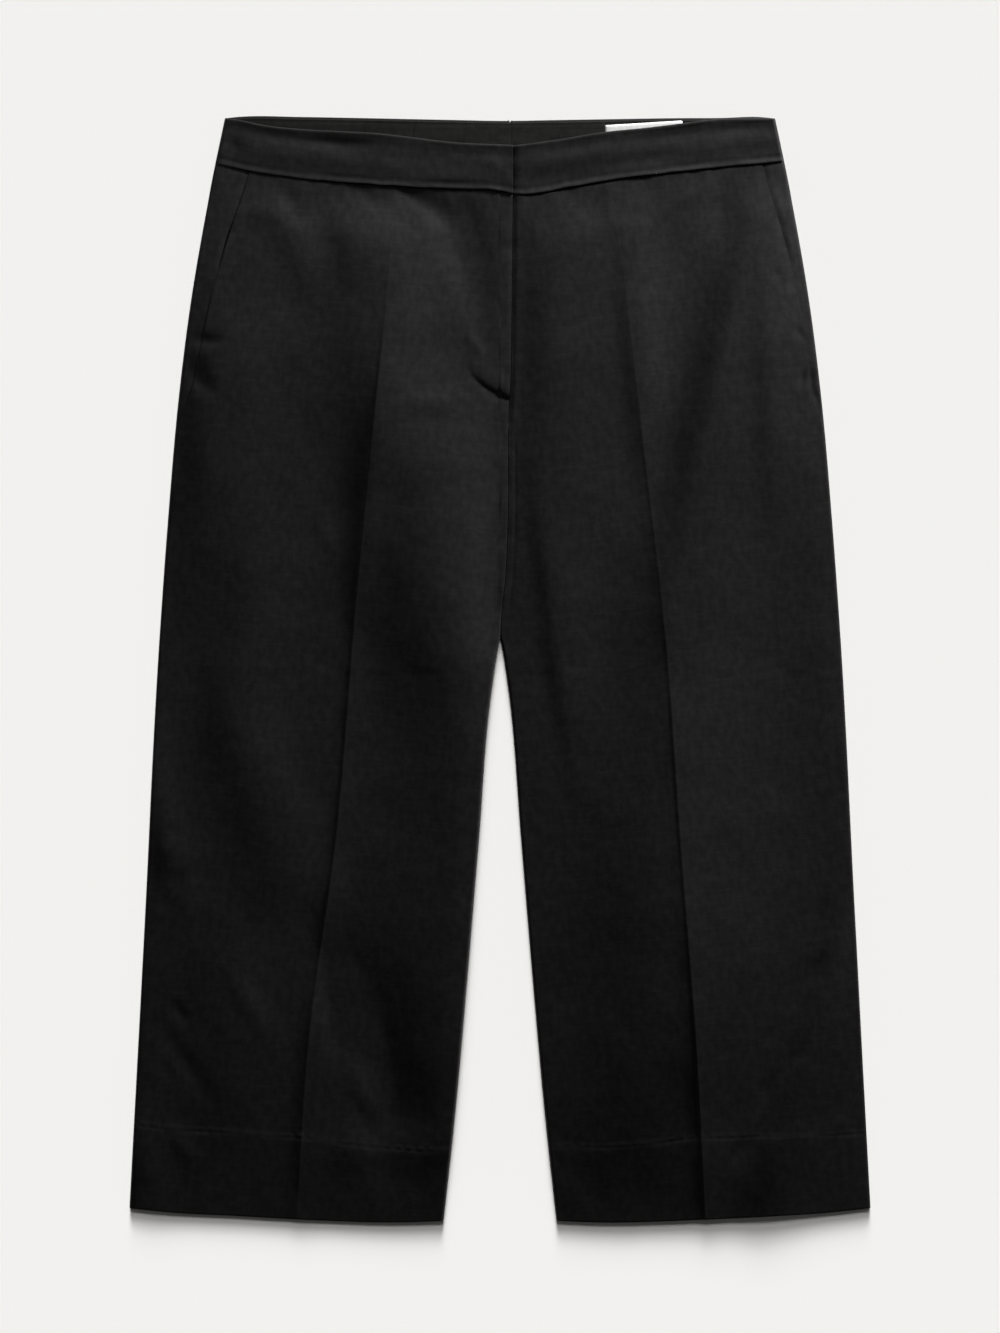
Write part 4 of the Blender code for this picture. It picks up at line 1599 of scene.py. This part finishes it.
@dataclass
class FrontBand(Band):
    """Half of the shaped front waistband, folded at its upper edge over a facing.

    Attributes:
        lap: How far the left half goes on under the right.
        lift, lift_end: How far the right half stands up where it laps, and to where.
        lap_drop, lap_end: How far the left half dips under the right, and to where.
        end: Angle and radius of the right half's turned end, and the strips round it.
        over_seam, under_radius: Place and radius of the lower edge's fold over its seam.
        flat_drop: The drop from which a turned end has no fine relief.
        rubbed: How much lighter its two folded edges are painted: wear, and a painted
        highlight on the rolls.
    """

    lap: float = 10.0
    lift: float = 0.25
    lift_end: Ramp = Ramp(0.0, 40.0)
    lap_drop: float = 0.95
    lap_end: Ramp = Ramp(-1.5, 5.5)
    end: tuple[float, float, int] = (QUARTER * 0.12, 2.2, 5)
    over_seam: float = FOLD_RADIUS * 0.6
    under_radius: float = 0.55
    flat_drop: float = 0.3
    # Painted lighter on its folded edges: wear, and a painted highlight on the rolls.
    rubbed: float = 0.5

    def lapped(self, past: Array) -> Array:
        """Give how far the half is moved up or down near its lap.

        Args:
            past: Distances from the front's seam towards the side.

        Returns:
            The lift at each point.
        """
        if self.side is Side.RIGHT:
            return self.lift * (1.0 - self.lift_end.at(past))
        return -self.lap_drop * (1.0 - self.lap_end.at(past))

    def sheet(self) -> Sheet:
        """Lay the half out from the opening to the side, and fold both of its edges.

        Returns:
            The half as one sheet.
        """
        shares = spaced(0.0, 1.0, (0.0, 0.004), (0.05, 0.011), (0.96, 0.011), (1.0, 0.005))
        rise = spaced(
            0.0, 1.0, (0.0, 0.016), (0.2, 0.03), (0.75, 0.045), (0.93, 0.03), (1.0, 0.016))
        seam_line = curve_through(np.array(self.opening_at), FRONT_SEAM)
        if self.side is Side.RIGHT:
            start = np.full(len(rise), seam_line - SEAM_GAP / 2)
            inner = turned(start, self.side.value, *self.end)
        else:
            start = np.full((len(rise), 1), seam_line - self.lap)
            inner = Columns(start, np.zeros_like(start))
        outer = self.end_turn(
            rise, lambda x: Outline.band_seam(x, self.side),
            lambda x: Outline.band_top(x, self.side))
        x, drop = spanned(inner, outer, shares)
        wander = BAND_WANDER.at(x, np.zeros_like(x))
        low = Outline.band_seam(x, self.side) + self.over_seam + wander
        high = Outline.band_top(x, self.side) - FOLD_RADIUS
        y = low + (high - low) * rise[:, None]
        relief = BandRelief().relief(x, y - low, high - low, self.side)
        z = BAND_FACE + relief * (drop < self.flat_drop) - drop
        z = z + self.lapped((x - seam_line) * self.side.value)
        return self.folded(np.dstack([x, y, z]))

    def folded(self, grid: Array) -> Sheet:
        """Fold the lower edge under, and the upper edge down inside as the band's facing.

        Args:
            grid: Points of the outer face, up from the seam.

        Returns:
            The band as one sheet.
        """
        sign = float(self.side.value)
        under = folded_edge(grid, sign, self.under_radius, np.array([0, 1]))[1:]
        rows = np.arange(0, len(grid) - 4, 2)
        over = folded_edge(grid[::-1], -sign, FOLD_RADIUS, rows)[::-1]
        points = np.concatenate([under, grid, over])
        up = lengths_up(points)
        across = np.repeat(grid[:1, :, 0], len(points), 0)
        height = up[len(under) + len(grid) - 1]
        # The lower roll and the upper fold are painted lighter: wear, and a painted highlight.
        rubbed = self.rubbed * np.maximum(bell(up - 1.2, 1.0), bell(up - height - 0.9, 1.0))
        return Sheet(f"cloth_band_front_{self.side.word}", points, np.dstack([across, up]),
                     rubbed, sign < 0)


@dataclass
class BackBand(Band):
    """Half of the back waistband, flat on the surface, with its upper edge rolled inside.

    Attributes:
        roll: Radius of the rolled upper edge.
        rolled_in: How far the cloth goes on down inside.
        end: Angle and radius of its turned inner end, and the strips round it.
    """

    roll: float = 0.9
    rolled_in: float = 5.0
    end: tuple[float, float, int] = (QUARTER * 0.75, 0.7, 4)

    def sheet(self) -> Sheet:
        """Lay the half out from the centre back to the side, and roll its upper edge in.

        Returns:
            The half as one sheet.
        """
        shares = spaced(0.0, 1.0, (0.0, 0.008), (0.1, 0.016), (1.0, 0.016))
        rise = spaced(0.0, 1.0, (0.0, 0.05), (0.9, 0.08), (1.0, 0.03))
        start = curve_through(np.array(self.opening_at), BACK_SEAM)
        start = np.full(len(rise), start + self.side.value * SEAM_GAP / 2)
        inner = turned(start, self.side.value, *self.end)
        outer = self.end_turn(
            rise, lambda x: Outline.back_band_seam(x, self.side), Outline.waist)
        x, drop = spanned(inner, outer, shares)
        low = Outline.back_band_seam(x, self.side) + SEAM_GAP
        high = Outline.waist(x) - self.roll
        grid = np.dstack([x, low + (high - low) * rise[:, None], drop])
        sign = -float(self.side.value)
        rows = np.flatnonzero(grid[-1, 5, 1] - grid[::-1, 5, 1] <= self.rolled_in)
        over = folded_edge(grid[::-1], -sign, self.roll, rows)[::-1]
        points = np.concatenate([grid, over])
        up = lengths_up(points)
        across = np.repeat(grid[:1, :, 0], len(points), 0)
        return Sheet(f"cloth_band_back_{self.side.word}", points, np.dstack([across, up]),
                     np.zeros_like(up), sign < 0)


class Span(NamedTuple):
    """One of the facing's pieces: its name, and its two joins with how far each leans."""

    name: str
    start: float
    lean: float
    end: float
    end_lean: float


@dataclass
class Facing:
    """The facing inside the back waistband, in four pieces between its joins.

    Attributes:
        joins, lean: Places of the joins at the waist, and how far each leans at its foot.
        inset: How far the outer ends stop short of the sides.
        below_edge, above_seam: How far its edges lie inside the band's edge and seam.
        turn: Angle and radius of an end's turn into its join, and the strips round it.
        column_step, fewest: Steps between columns, and the fewest columns in a piece.
        tilt: How much higher it stands at its upper edge.
        line: The line along its upper edge, by the distance down from that edge.
        wall: The cloth's thickness.
    """

    joins: tuple[float, float, float] = (-58.0, 7.6, 71.0)
    lean: tuple[float, float, float] = (5.2, 0.0, -5.2)
    inset: float = 4.5
    below_edge: float = 1.4
    above_seam: float = 2.0
    turn: tuple[float, float, int] = (np.radians(28.0), 0.6, 4)
    column_step: float = 2.2
    fewest: int = 8
    tilt: float = 0.2
    line: Ridge = Ridge(-0.25, 2.2, 0.5)
    wall: float = 0.5

    def spans(self) -> tuple[Span, ...]:
        """Give the four pieces between the joins.

        Returns:
            The pieces, from -X to +X.
        """
        end = WAIST_SIDE - self.inset
        at, lean = self.joins, self.lean
        return (
            Span("side_right", -end, 0.0, at[0], lean[0]),
            Span("back_right", at[0], lean[0], at[1], lean[1]),
            Span("back_left", at[1], lean[1], at[2], lean[2]),
            Span("side_left", at[2], lean[2], end, 0.0),
        )

    def sheet(self, span: Span) -> Sheet:
        """Lay one piece out, and turn its ends down into the joins.

        Args:
            span: The piece's joins.

        Returns:
            The piece, face up.
        """
        rise = spaced(0.0, 1.0, (0.0, 0.06), (0.4, 0.05), (1.0, 0.03))
        first = span.start - span.lean * (1.0 - rise)
        last = span.end - span.end_lean * (1.0 - rise)
        inner = turned(first + SEAM_GAP / 2, 1.0, *self.turn)
        outer = turned(last - SEAM_GAP / 2, -1.0, *self.turn)
        columns = max(self.fewest, round((span.end - span.start) / self.column_step))
        x, drop = spanned(inner, outer, np.linspace(0.0, 1.0, columns))
        side = Side.LEFT if span.start + span.end > 0 else Side.RIGHT
        low = Outline.back_band_seam(x, side) + self.above_seam
        high = Outline.waist(x) - self.below_edge
        y = low + (high - low) * rise[:, None]
        ripple = FACING_WAVES.at(x, y) + FACING_RIBS.at(x, y)
        z = FACING_FACE + self.tilt * rise[:, None] + ripple - drop
        z = z + self.line.at(high - y)
        return Sheet(f"facing_cloth_{span.name}", np.dstack([x, y, z]), np.dstack([x, y]),
                     np.zeros_like(x), False, self.wall)


@dataclass
class FlyShield:
    """The plain strip behind the closed fly.

    Attributes:
        start: Its end towards -X.
        end: Its end towards +X.
        foot: Height of its lower edge.
        below_band: How far its upper edge lies below the band's seam.
        columns: Columns across it.
        rows: Rows up it.
    """

    start: float = -27.0
    end: float = 22.0
    foot: float = 168.0
    below_band: float = 2.0
    columns: int = 14
    rows: int = 40

    def sheet(self) -> Sheet:
        """Lay the strip out under the fly.

        Returns:
            The strip as one sheet.
        """
        x = np.repeat(np.linspace(self.start, self.end, self.columns)[None, :], self.rows, 0)
        rise = np.linspace(0.0, 1.0, self.rows)[:, None]
        y = self.foot + (Outline.band_seam(x, Side.RIGHT) - self.below_band - self.foot) * rise
        z = SHIELD_FACE + SHIELD_WAVES.at(x, y)
        return Sheet("cloth_fly_shield", np.dstack([x, y, z]), np.dstack([x, y]),
                     np.zeros_like(x), False)


@dataclass
class Label:
    """A blank folded tape on the facing, partly under the front band.

    Attributes:
        start: Where it starts.
        end: Where it ends.
        foot: Height of its lower edge.
        head: Heights of its upper edge at both ends.
        columns: Columns across it.
        rows: Rows up it.
        soft: Reach of its softened edges.
        end_drop: How far its ends are turned down.
        top_drop: How far its upper edge is turned down.
    """

    start: float = 71.4
    end: float = 124.0
    foot: float = 347.0
    head: tuple[float, float] = (371.2, 374.4)
    columns: int = 44
    rows: int = 20
    soft: float = 0.8
    end_drop: float = 0.2
    top_drop: float = 0.18

    def sheet(self) -> Sheet:
        """Lay the tape out, with its upper edge and ends a little softened.

        Returns:
            The tape as one sheet.
        """
        x = np.repeat(np.linspace(self.start, self.end, self.columns)[None, :], self.rows, 0)
        rise = np.linspace(0.0, 1.0, self.rows)[:, None]
        along = (x - self.start) / (self.end - self.start)
        high = self.head[0] + (self.head[1] - self.head[0]) * along
        y = self.foot + (high - self.foot) * rise
        ends = bell(x - self.start, self.soft) + bell(x - self.end, self.soft)
        z = LABEL_FACE + TAPE_WAVES.at(x, y) - self.end_drop * ends
        z = z - self.top_drop * bell(high - y, self.soft)
        return Sheet("label_blank_tape", np.dstack([x, y, z]), np.dstack([x, y]),
                     np.zeros_like(x), False, TAPE)


class Nodes:
    """A node tree with short ways to add nodes and join them."""

    def __init__(self, tree: bpy.types.NodeTree) -> None:
        """Take the tree to build in."""
        self.tree = tree

    def add(self, kind: str, inputs: dict | None = None, **settings: object) -> bpy.types.Node:
        """Add a node.

        Args:
            kind: The node's type, without the word that all shader nodes start with.
            inputs: Values or sockets for its inputs, by name or number.
            **settings: Properties of the node.

        Returns:
            The node.
        """
        node = self.tree.nodes.new(kind if kind.startswith("Node") else "ShaderNode" + kind)
        for key, value in settings.items():
            setattr(node, key, value)
        for key, value in (inputs or {}).items():
            if isinstance(value, bpy.types.NodeSocket):
                self.tree.links.new(value, node.inputs[key])
            else:
                node.inputs[key].default_value = value
        return node

    def math(self, operation: str, *values: object) -> bpy.types.NodeSocket:
        """Add a Math node and give its result."""
        node = self.add("Math", dict(enumerate(values)), operation=operation)
        return node.outputs[0]

    def noise(
        self, vector: bpy.types.NodeSocket, scale: tuple[float, float], detail: float
    ) -> bpy.types.NodeSocket:
        """Add noise with a scale along the weft and one along the warp.

        Args:
            vector: Places along the weft and the warp, in metres.
            scale: Cells a metre along the weft and along the warp.
            detail: How many finer layers it has.

        Returns:
            The noise, from 0 to 1.
        """
        stretched = self.add("Mapping", {"Vector": vector, "Scale": (*scale, 1.0)})
        node = self.add("TexNoise", {
            "Vector": stretched.outputs[0], "Scale": 1.0, "Detail": detail, "Roughness": 0.55,
        }, noise_dimensions="2D")
        return node.outputs["Fac"]

    def ramp(
        self, value: bpy.types.NodeSocket, low: float, high: float, to: tuple = (0.0, 1.0)
    ) -> bpy.types.NodeSocket:
        """Stretch the values from low to high over a range, and hold them inside it.

        Args:
            value: The values.
            low: The value that gives the range's start.
            high: The value that gives its end.
            to: The range.

        Returns:
            The stretched values.
        """
        node = self.add("MapRange", {
            "Value": value, "From Min": low, "From Max": high, "To Min": to[0], "To Max": to[1],
        })
        return node.outputs[0]


def new_group(name: str, inputs: dict[str, str], outputs: dict[str, str]) -> tuple:
    """Start a shader node group.

    Args:
        name: The group's name.
        inputs: Socket types of its inputs, by name.
        outputs: Socket types of its outputs, by name.

    Returns:
        The group, its Nodes, its input node's outputs and its output node's inputs.
    """
    group = bpy.data.node_groups.new(name, "ShaderNodeTree")
    for key, kind in inputs.items():
        group.interface.new_socket(name=key, in_out="INPUT", socket_type=kind)
    for key, kind in outputs.items():
        group.interface.new_socket(name=key, in_out="OUTPUT", socket_type=kind)
    nodes = Nodes(group)
    entry = nodes.add("NodeGroupInput")
    out = nodes.add("NodeGroupOutput")
    return group, nodes, entry.outputs, out.inputs


# Cells a metre along the weft and the warp, and ranges of the noise that are stretched.
BLOB_CELLS = (235.0, 140.0)
SLUB_CELLS = (60.0, 380.0)
WEFT_CELLS = (110.0, 620.0)
MOTTLE_CELLS = (24.0, 34.0)
WEAR_SHEEN_CELLS = (300.0, 300.0)
SLUB_RANGE = (0.5, 0.85)
MIDDLE_RANGE = (0.3, 0.7)
WEAR_SHEEN_MASK = (0.35, 1.0)


def slubbed_weave() -> bpy.types.ShaderNodeTree:
    """Build the group that weaves slubbed cloth.

    Even noise makes the cloth's mottle of small blobs, low wide noise its few slubs, and large
    noise its slow change of tone.

    Returns:
        The group.
    """
    group, nodes, given, out = new_group(
        "slubbed_weave",
        {"Thread": "NodeSocketVector", "Slubs": "NodeSocketFloat", "Grain": "NodeSocketFloat"},
        {"Tone": "NodeSocketFloat", "Height": "NodeSocketFloat", "Mottle": "NodeSocketFloat"},
    )
    thread = given["Thread"]
    blobs = nodes.noise(thread, BLOB_CELLS, 2.0)
    slub = nodes.ramp(nodes.noise(thread, SLUB_CELLS, 1.0), *SLUB_RANGE)
    weft = nodes.noise(thread, WEFT_CELLS, 1.0)
    mottle = nodes.noise(thread, MOTTLE_CELLS, 3.0)
    slubs = nodes.math("MULTIPLY", slub, given["Slubs"])
    grains = nodes.math("MULTIPLY", weft, given["Grain"])
    height = nodes.math("ADD", nodes.math("ADD", blobs, slubs), grains)
    for name, socket in (("Tone", height), ("Height", height), ("Mottle", mottle)):
        nodes.tree.links.new(socket, out[name])
    return group


def rubbed_edges() -> bpy.types.ShaderNodeTree:
    """Build the group that paints folded edges and creases lighter, broken up by the threads:
    wear on the edges, and painted highlights on the creases and rolls.

    Returns:
        The group.
    """
    group, nodes, given, out = new_group(
        "rubbed_edges",
        {"Colour": "NodeSocketColor", "Wear And Sheen Colour": "NodeSocketColor",
         "Thread": "NodeSocketVector"},
        {"Colour": "NodeSocketColor", "Mask": "NodeSocketFloat"},
    )
    # Paints lighter where the mask says: wear, and painted highlights on creases and rolls.
    wear_and_sheen_mask = nodes.add("Attribute", attribute_name="rubbed").outputs["Fac"]
    threads = nodes.noise(given["Thread"], WEAR_SHEEN_CELLS, 2.0)
    broken = nodes.ramp(threads, *MIDDLE_RANGE, WEAR_SHEEN_MASK)
    mask = nodes.math("MULTIPLY", wear_and_sheen_mask, broken)
    mixed = nodes.add("Mix", {"Factor": mask, 6: given["Colour"], 7: given["Wear And Sheen Colour"]},
                      data_type="RGBA")
    nodes.tree.links.new(mixed.outputs[2], out["Colour"])
    nodes.tree.links.new(mask, out["Mask"])
    return group


@dataclass(frozen=True)
class ClothFinish:
    """A woven cloth's finish.

    Attributes:
        name: The material's name.
        deep, raised, rubbed: Colours between the threads, on them, and painted on worn
        edges and as highlights on the creases and rolls.
        roughness: Lowest and highest roughness.
        sheen, sheen_roughness, sheen_tint: The fibres' sheen.
        specular: Level of the threads' gloss.
        slubs, grain: Strengths of the slubs and of the fine grain.
        bump, bump_strength: Depth of the weave in metres, and that depth's strength.
        tone_range, rough_range: Heights of the weave that its colours and roughnesses are at.
        mottle_tone: How far the mottle takes the tone to either side.
    """

    name: str
    deep: tuple[float, float, float]
    raised: tuple[float, float, float]
    rubbed: tuple[float, float, float]
    roughness: tuple[float, float]
    sheen: float
    specular: float
    slubs: float
    grain: float
    bump: float
    bump_strength: float = 0.6
    tone_range: tuple[float, float] = (0.35, 1.0)
    rough_range: tuple[float, float] = (0.3, 1.0)
    mottle_tone: float = 0.14
    sheen_roughness: float = 0.5
    sheen_tint: tuple[float, float, float] = (0.6, 0.6, 0.6)

    def material(
        self, weave: bpy.types.ShaderNodeTree, edges: bpy.types.ShaderNodeTree
    ) -> bpy.types.Material:
        """Make the material from the weave's and the worn, painted-highlight edges' groups.

        Args:
            weave: The slubbed weave's group.
            edges: The group of worn edges and painted highlights.

        Returns:
            The material.
        """
        material = bpy.data.materials.new(self.name)
        material.use_nodes = True
        nodes = Nodes(material.node_tree)
        shader = material.node_tree.nodes["Principled BSDF"]
        thread = nodes.add("UVMap", uv_map="thread").outputs["UV"]
        woven = nodes.add("Group", node_tree=weave)
        nodes.tree.links.new(thread, woven.inputs["Thread"])
        woven.inputs["Slubs"].default_value = self.slubs
        woven.inputs["Grain"].default_value = self.grain
        tone = nodes.ramp(woven.outputs["Tone"], *self.tone_range)
        swing = (-self.mottle_tone, self.mottle_tone)
        tone = nodes.math("ADD", tone, nodes.ramp(woven.outputs["Mottle"], *MIDDLE_RANGE, swing))
        colour = nodes.add("Mix", {"Factor": tone, 6: (*self.deep, 1.0), 7: (*self.raised, 1.0)},
                           data_type="RGBA")
        edge = nodes.add("Group", node_tree=edges)
        nodes.tree.links.new(colour.outputs[2], edge.inputs["Colour"])
        edge.inputs["Wear And Sheen Colour"].default_value = (*self.rubbed, 1.0)
        nodes.tree.links.new(thread, edge.inputs["Thread"])
        rough = nodes.ramp(woven.outputs["Height"], *self.rough_range, self.roughness[::-1])
        bump = nodes.add("Bump", {"Height": woven.outputs["Height"],
                                  "Strength": self.bump_strength, "Distance": self.bump})
        nodes.tree.links.new(edge.outputs["Colour"], shader.inputs["Base Color"])
        nodes.tree.links.new(rough, shader.inputs["Roughness"])
        nodes.tree.links.new(bump.outputs["Normal"], shader.inputs["Normal"])
        shader.inputs["Specular IOR Level"].default_value = self.specular
        shader.inputs["Sheen Weight"].default_value = self.sheen
        shader.inputs["Sheen Roughness"].default_value = self.sheen_roughness
        shader.inputs["Sheen Tint"].default_value = (*self.sheen_tint, 1.0)
        return material


# The third colour of each finish is painted on worn edges and as highlights on creases and rolls.
LINEN = ClothFinish(
    "black_slubbed_linen", (0.0076, 0.0076, 0.0076), (0.0146, 0.0146, 0.0146),
    (0.019, 0.018, 0.017), (0.58, 0.72), 0.02, 0.06, 0.25, 0.12, 0.000088)
BAND_LINEN = ClothFinish(
    "black_band_linen", (0.0076, 0.0076, 0.0076), (0.0142, 0.0142, 0.0142),
    (0.022, 0.021, 0.020), (0.56, 0.7), 0.02, 0.06, 0.25, 0.2, 0.00009)
FACING_CLOTH = ClothFinish(
    "warm_black_facing", (0.0060, 0.0059, 0.0056), (0.0112, 0.0110, 0.0103),
    (0.018, 0.017, 0.016), (0.55, 0.7), 0.02, 0.06, 0.25, 0.3, 0.0001)
TAPE_FINISH = ClothFinish(
    "white_blank_tape", (0.42, 0.42, 0.41), (0.52, 0.52, 0.51),
    (0.55, 0.55, 0.54), (0.4, 0.55), 0.0, 0.3, 0.1, 0.2, 0.0001)


@dataclass(frozen=True)
class Lamp:
    """A soft round lamp.

    Attributes:
        name: The lamp's name.
        place: Where it stands, in metres.
        radius: The radius of its face.
        level: Its light on the garment's middle, where 1 shows a colour as it is written.
    """

    name: str
    place: tuple[float, float, float]
    radius: float
    level: float

    def build(self, lit: bpy.types.Collection) -> None:
        """Stand the lamp up, and let it light one collection.

        Its power is 4 pi^2 times the level, times the distance cubed over the height.

        Args:
            lit: The collection that it lights.
        """
        data = bpy.data.lights.new(self.name, "POINT")
        data.shadow_soft_size = self.radius
        distance = float(np.linalg.norm(self.place))
        data.energy = self.level * 4 * np.pi ** 2 * distance ** 3 / self.place[2]
        lamp = bpy.data.objects.new(self.name, data)
        lamp.location = self.place
        lamp.light_linking.receiver_collection = lit
        bpy.context.scene.collection.objects.link(lamp)


@dataclass(frozen=True)
class Studio:
    """A plain pale floor, soft lamps and the camera straight above.

    Attributes:
        floor_colour, floor_half: The floor's linear colour, and half its side in metres.
        sky, sky_colour: Level and colour of the world's even light.
        horizon, horizon_band: Level of its pale band, and heights where the band fades out.
        horizon_light: What that band adds to the floor's light.
        floor_suns, sun_angle: Elevations and width, in degrees, of the floor's own lights.
        lens, sensor: The camera's lens and its sensor's width, in millimetres.
        view_height, view_middle: Height of what the camera sees, and its middle, in metres.
        view_plane: Height of the plane that view_height is measured in.
        lamps: The lamps that light the garment.
    """

    floor_colour: tuple[float, float, float] = (0.888, 0.880, 0.863)
    floor_half: float = 40.0
    sky: float = 0.045
    horizon: float = 0.6
    horizon_band: tuple[float, float] = (0.10, 0.25)
    horizon_light: float = 0.018
    sky_colour: tuple[float, float, float] = (1.0, 0.995, 0.985)
    floor_suns: tuple[float, ...] = (16.0, 23.0, 33.0, 55.0)
    sun_angle: float = 16.0
    lens: float = 85.0
    sensor: float = 36.0
    view_height: float = 0.9064
    view_middle: float = 0.00384
    view_plane: float = 0.003
    lamps: tuple[Lamp, ...] = (
        Lamp("key", (0.80, 1.18, 0.26), 0.09, 0.56),
        Lamp("fill", (-0.80, 0.95, 0.50), 0.25, 0.09),
    )

    def build(self) -> None:
        """Lay the floor, light it, stand the lamps up and place the camera."""
        scene = bpy.context.scene
        scene.view_settings.view_transform = "Standard"
        stage = bpy.data.collections.new("stage")
        scene.collection.children.link(stage)
        self.lay_floor(stage)
        self.light_world()
        self.light_floor(stage)
        for lamp in self.lamps:
            lamp.build(garment_collection())
        self.place_camera()

    def lay_floor(self, stage: bpy.types.Collection) -> None:
        """Lay the plain floor.

        Args:
            stage: The collection that it is put in.
        """
        half = self.floor_half
        mesh = bpy.data.meshes.new("floor")
        mesh.from_pydata(
            [(-half, -half, 0.0), (half, -half, 0.0), (half, half, 0.0), (-half, half, 0.0)],
            [], [(0, 1, 2, 3)])
        material = bpy.data.materials.new("pale_floor")
        material.use_nodes = True
        tree = material.node_tree
        tree.nodes.clear()
        nodes = Nodes(tree)
        paint = nodes.add("BsdfDiffuse", {"Color": (*self.floor_colour, 1.0)})
        nodes.add("OutputMaterial", {"Surface": paint.outputs[0]})
        mesh.materials.append(material)
        floor = bpy.data.objects.new("floor", mesh)
        stage.objects.link(floor)

    def light_world(self) -> None:
        """Give the world an even light, paler in a low band round the horizon."""
        world = bpy.data.worlds.new("studio")
        world.use_nodes = True
        bpy.context.scene.world = world
        nodes = Nodes(world.node_tree)
        direction = nodes.add("TexCoord").outputs["Generated"]
        up = nodes.add("SeparateXYZ", {0: direction}).outputs["Z"]
        level = nodes.ramp(up, *self.horizon_band, (self.horizon, self.sky))
        background = world.node_tree.nodes["Background"]
        background.inputs["Color"].default_value = (*self.sky_colour, 1.0)
        world.node_tree.links.new(level, background.inputs["Strength"])

    def light_floor(self, stage: bpy.types.Collection) -> None:
        """Give the floor soft suns of its own, equal on it, which cast the garment's shadow.

        Args:
            stage: The collection that they light.
        """
        rest = 1.0 - self.sky - self.horizon_light
        for elevation in self.floor_suns:
            data = bpy.data.lights.new("floor_sun", "SUN")
            data.energy = rest * np.pi / np.sin(np.radians(elevation)) / len(self.floor_suns)
            data.angle = np.radians(self.sun_angle)
            sun = bpy.data.objects.new("floor_sun", data)
            sun.rotation_euler = (-np.radians(90.0 - elevation), 0.0, 0.0)
            sun.light_linking.receiver_collection = stage
            bpy.context.scene.collection.objects.link(sun)

    def place_camera(self) -> None:
        """Place the camera straight above, with the waist up."""
        data = bpy.data.cameras.new("camera")
        data.lens = self.lens
        data.sensor_width = self.sensor
        distance = self.view_height * self.lens / data.sensor_width
        camera = bpy.data.objects.new("camera", data)
        camera.location = (0.0, self.view_middle, self.view_plane + distance)
        bpy.context.scene.collection.objects.link(camera)
        bpy.context.scene.camera = camera


class LongShorts:
    """The whole garment: it dresses each piece and hides the CAD node that it stands for."""

    def __init__(self) -> None:
        """Make the finishes, by their slots."""
        weave, edges = slubbed_weave(), rubbed_edges()
        self.finishes = {
            "outer_cloth": LINEN.material(weave, edges),
            "band_cloth": BAND_LINEN.material(weave, edges),
            "facing_cloth": FACING_CLOTH.material(weave, edges),
            "label_tape": TAPE_FINISH.material(weave, edges),
        }

    def build(self) -> None:
        """Build every piece, in the order that a maker would sew them."""
        for side in Side:
            self.build_side(side)
        facing = Facing()
        for span in facing.spans():
            half = span.name.split("_")[1]
            self.place(facing.sheet(span), f"facing_{span.name}", "facing_cloth",
                       [f"waistband_back_{half}"])
        self.place(FlyShield().sheet(), "fly_shield", "outer_cloth", ["back_right", "back_left"])
        self.place(Label().sheet(), "label", "label_tape", ["facing_side_left"])

    def build_side(self, side: Side) -> None:
        """Build the pieces of one of the wearer's sides.

        Args:
            side: The wearer's side.
        """
        word = side.word
        front = FrontPanel(side, inner_fine=INNER_FINE[side], fine_rows=FINE_ROWS)
        self.place(BackPanel(side).sheet(), f"back_{word}", "outer_cloth", [])
        self.place(HipPiece(side).sheet(), f"pocket_{word}", "outer_cloth", [f"back_{word}"])
        self.place(front.sheet(), f"front_{word}", "outer_cloth",
                   [f"back_{word}", f"pocket_{word}"])
        self.place(BackBand(side).sheet(), f"waistband_back_{word}", "band_cloth", [])
        self.place(FrontBand(side).sheet(), f"waistband_front_{word}", "band_cloth",
                   [f"facing_side_{word}", f"back_{word}"])

    def place(self, cloth: Sheet, node: str, slot: str, rests_on: list[str]) -> None:
        """Make a sheet's piece, hide the CAD node that it stands for, and ride it on the body.

        Args:
            cloth: The sheet of cloth.
            node: The CAD node that it stands for.
            slot: The slot whose finish it wears.
            rests_on: The CAD nodes that it lies on; none if it lies on the table. Not used.
        """
        piece = cloth.build(self.finishes[slot])
        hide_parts(node)
        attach(piece, "root")


def main() -> None:
    """Build the studio and the garment."""
    logging.basicConfig(level=logging.INFO, format="%(message)s")
    LongShorts().build()
    Studio().build()


if __name__ == "__main__":
    main()
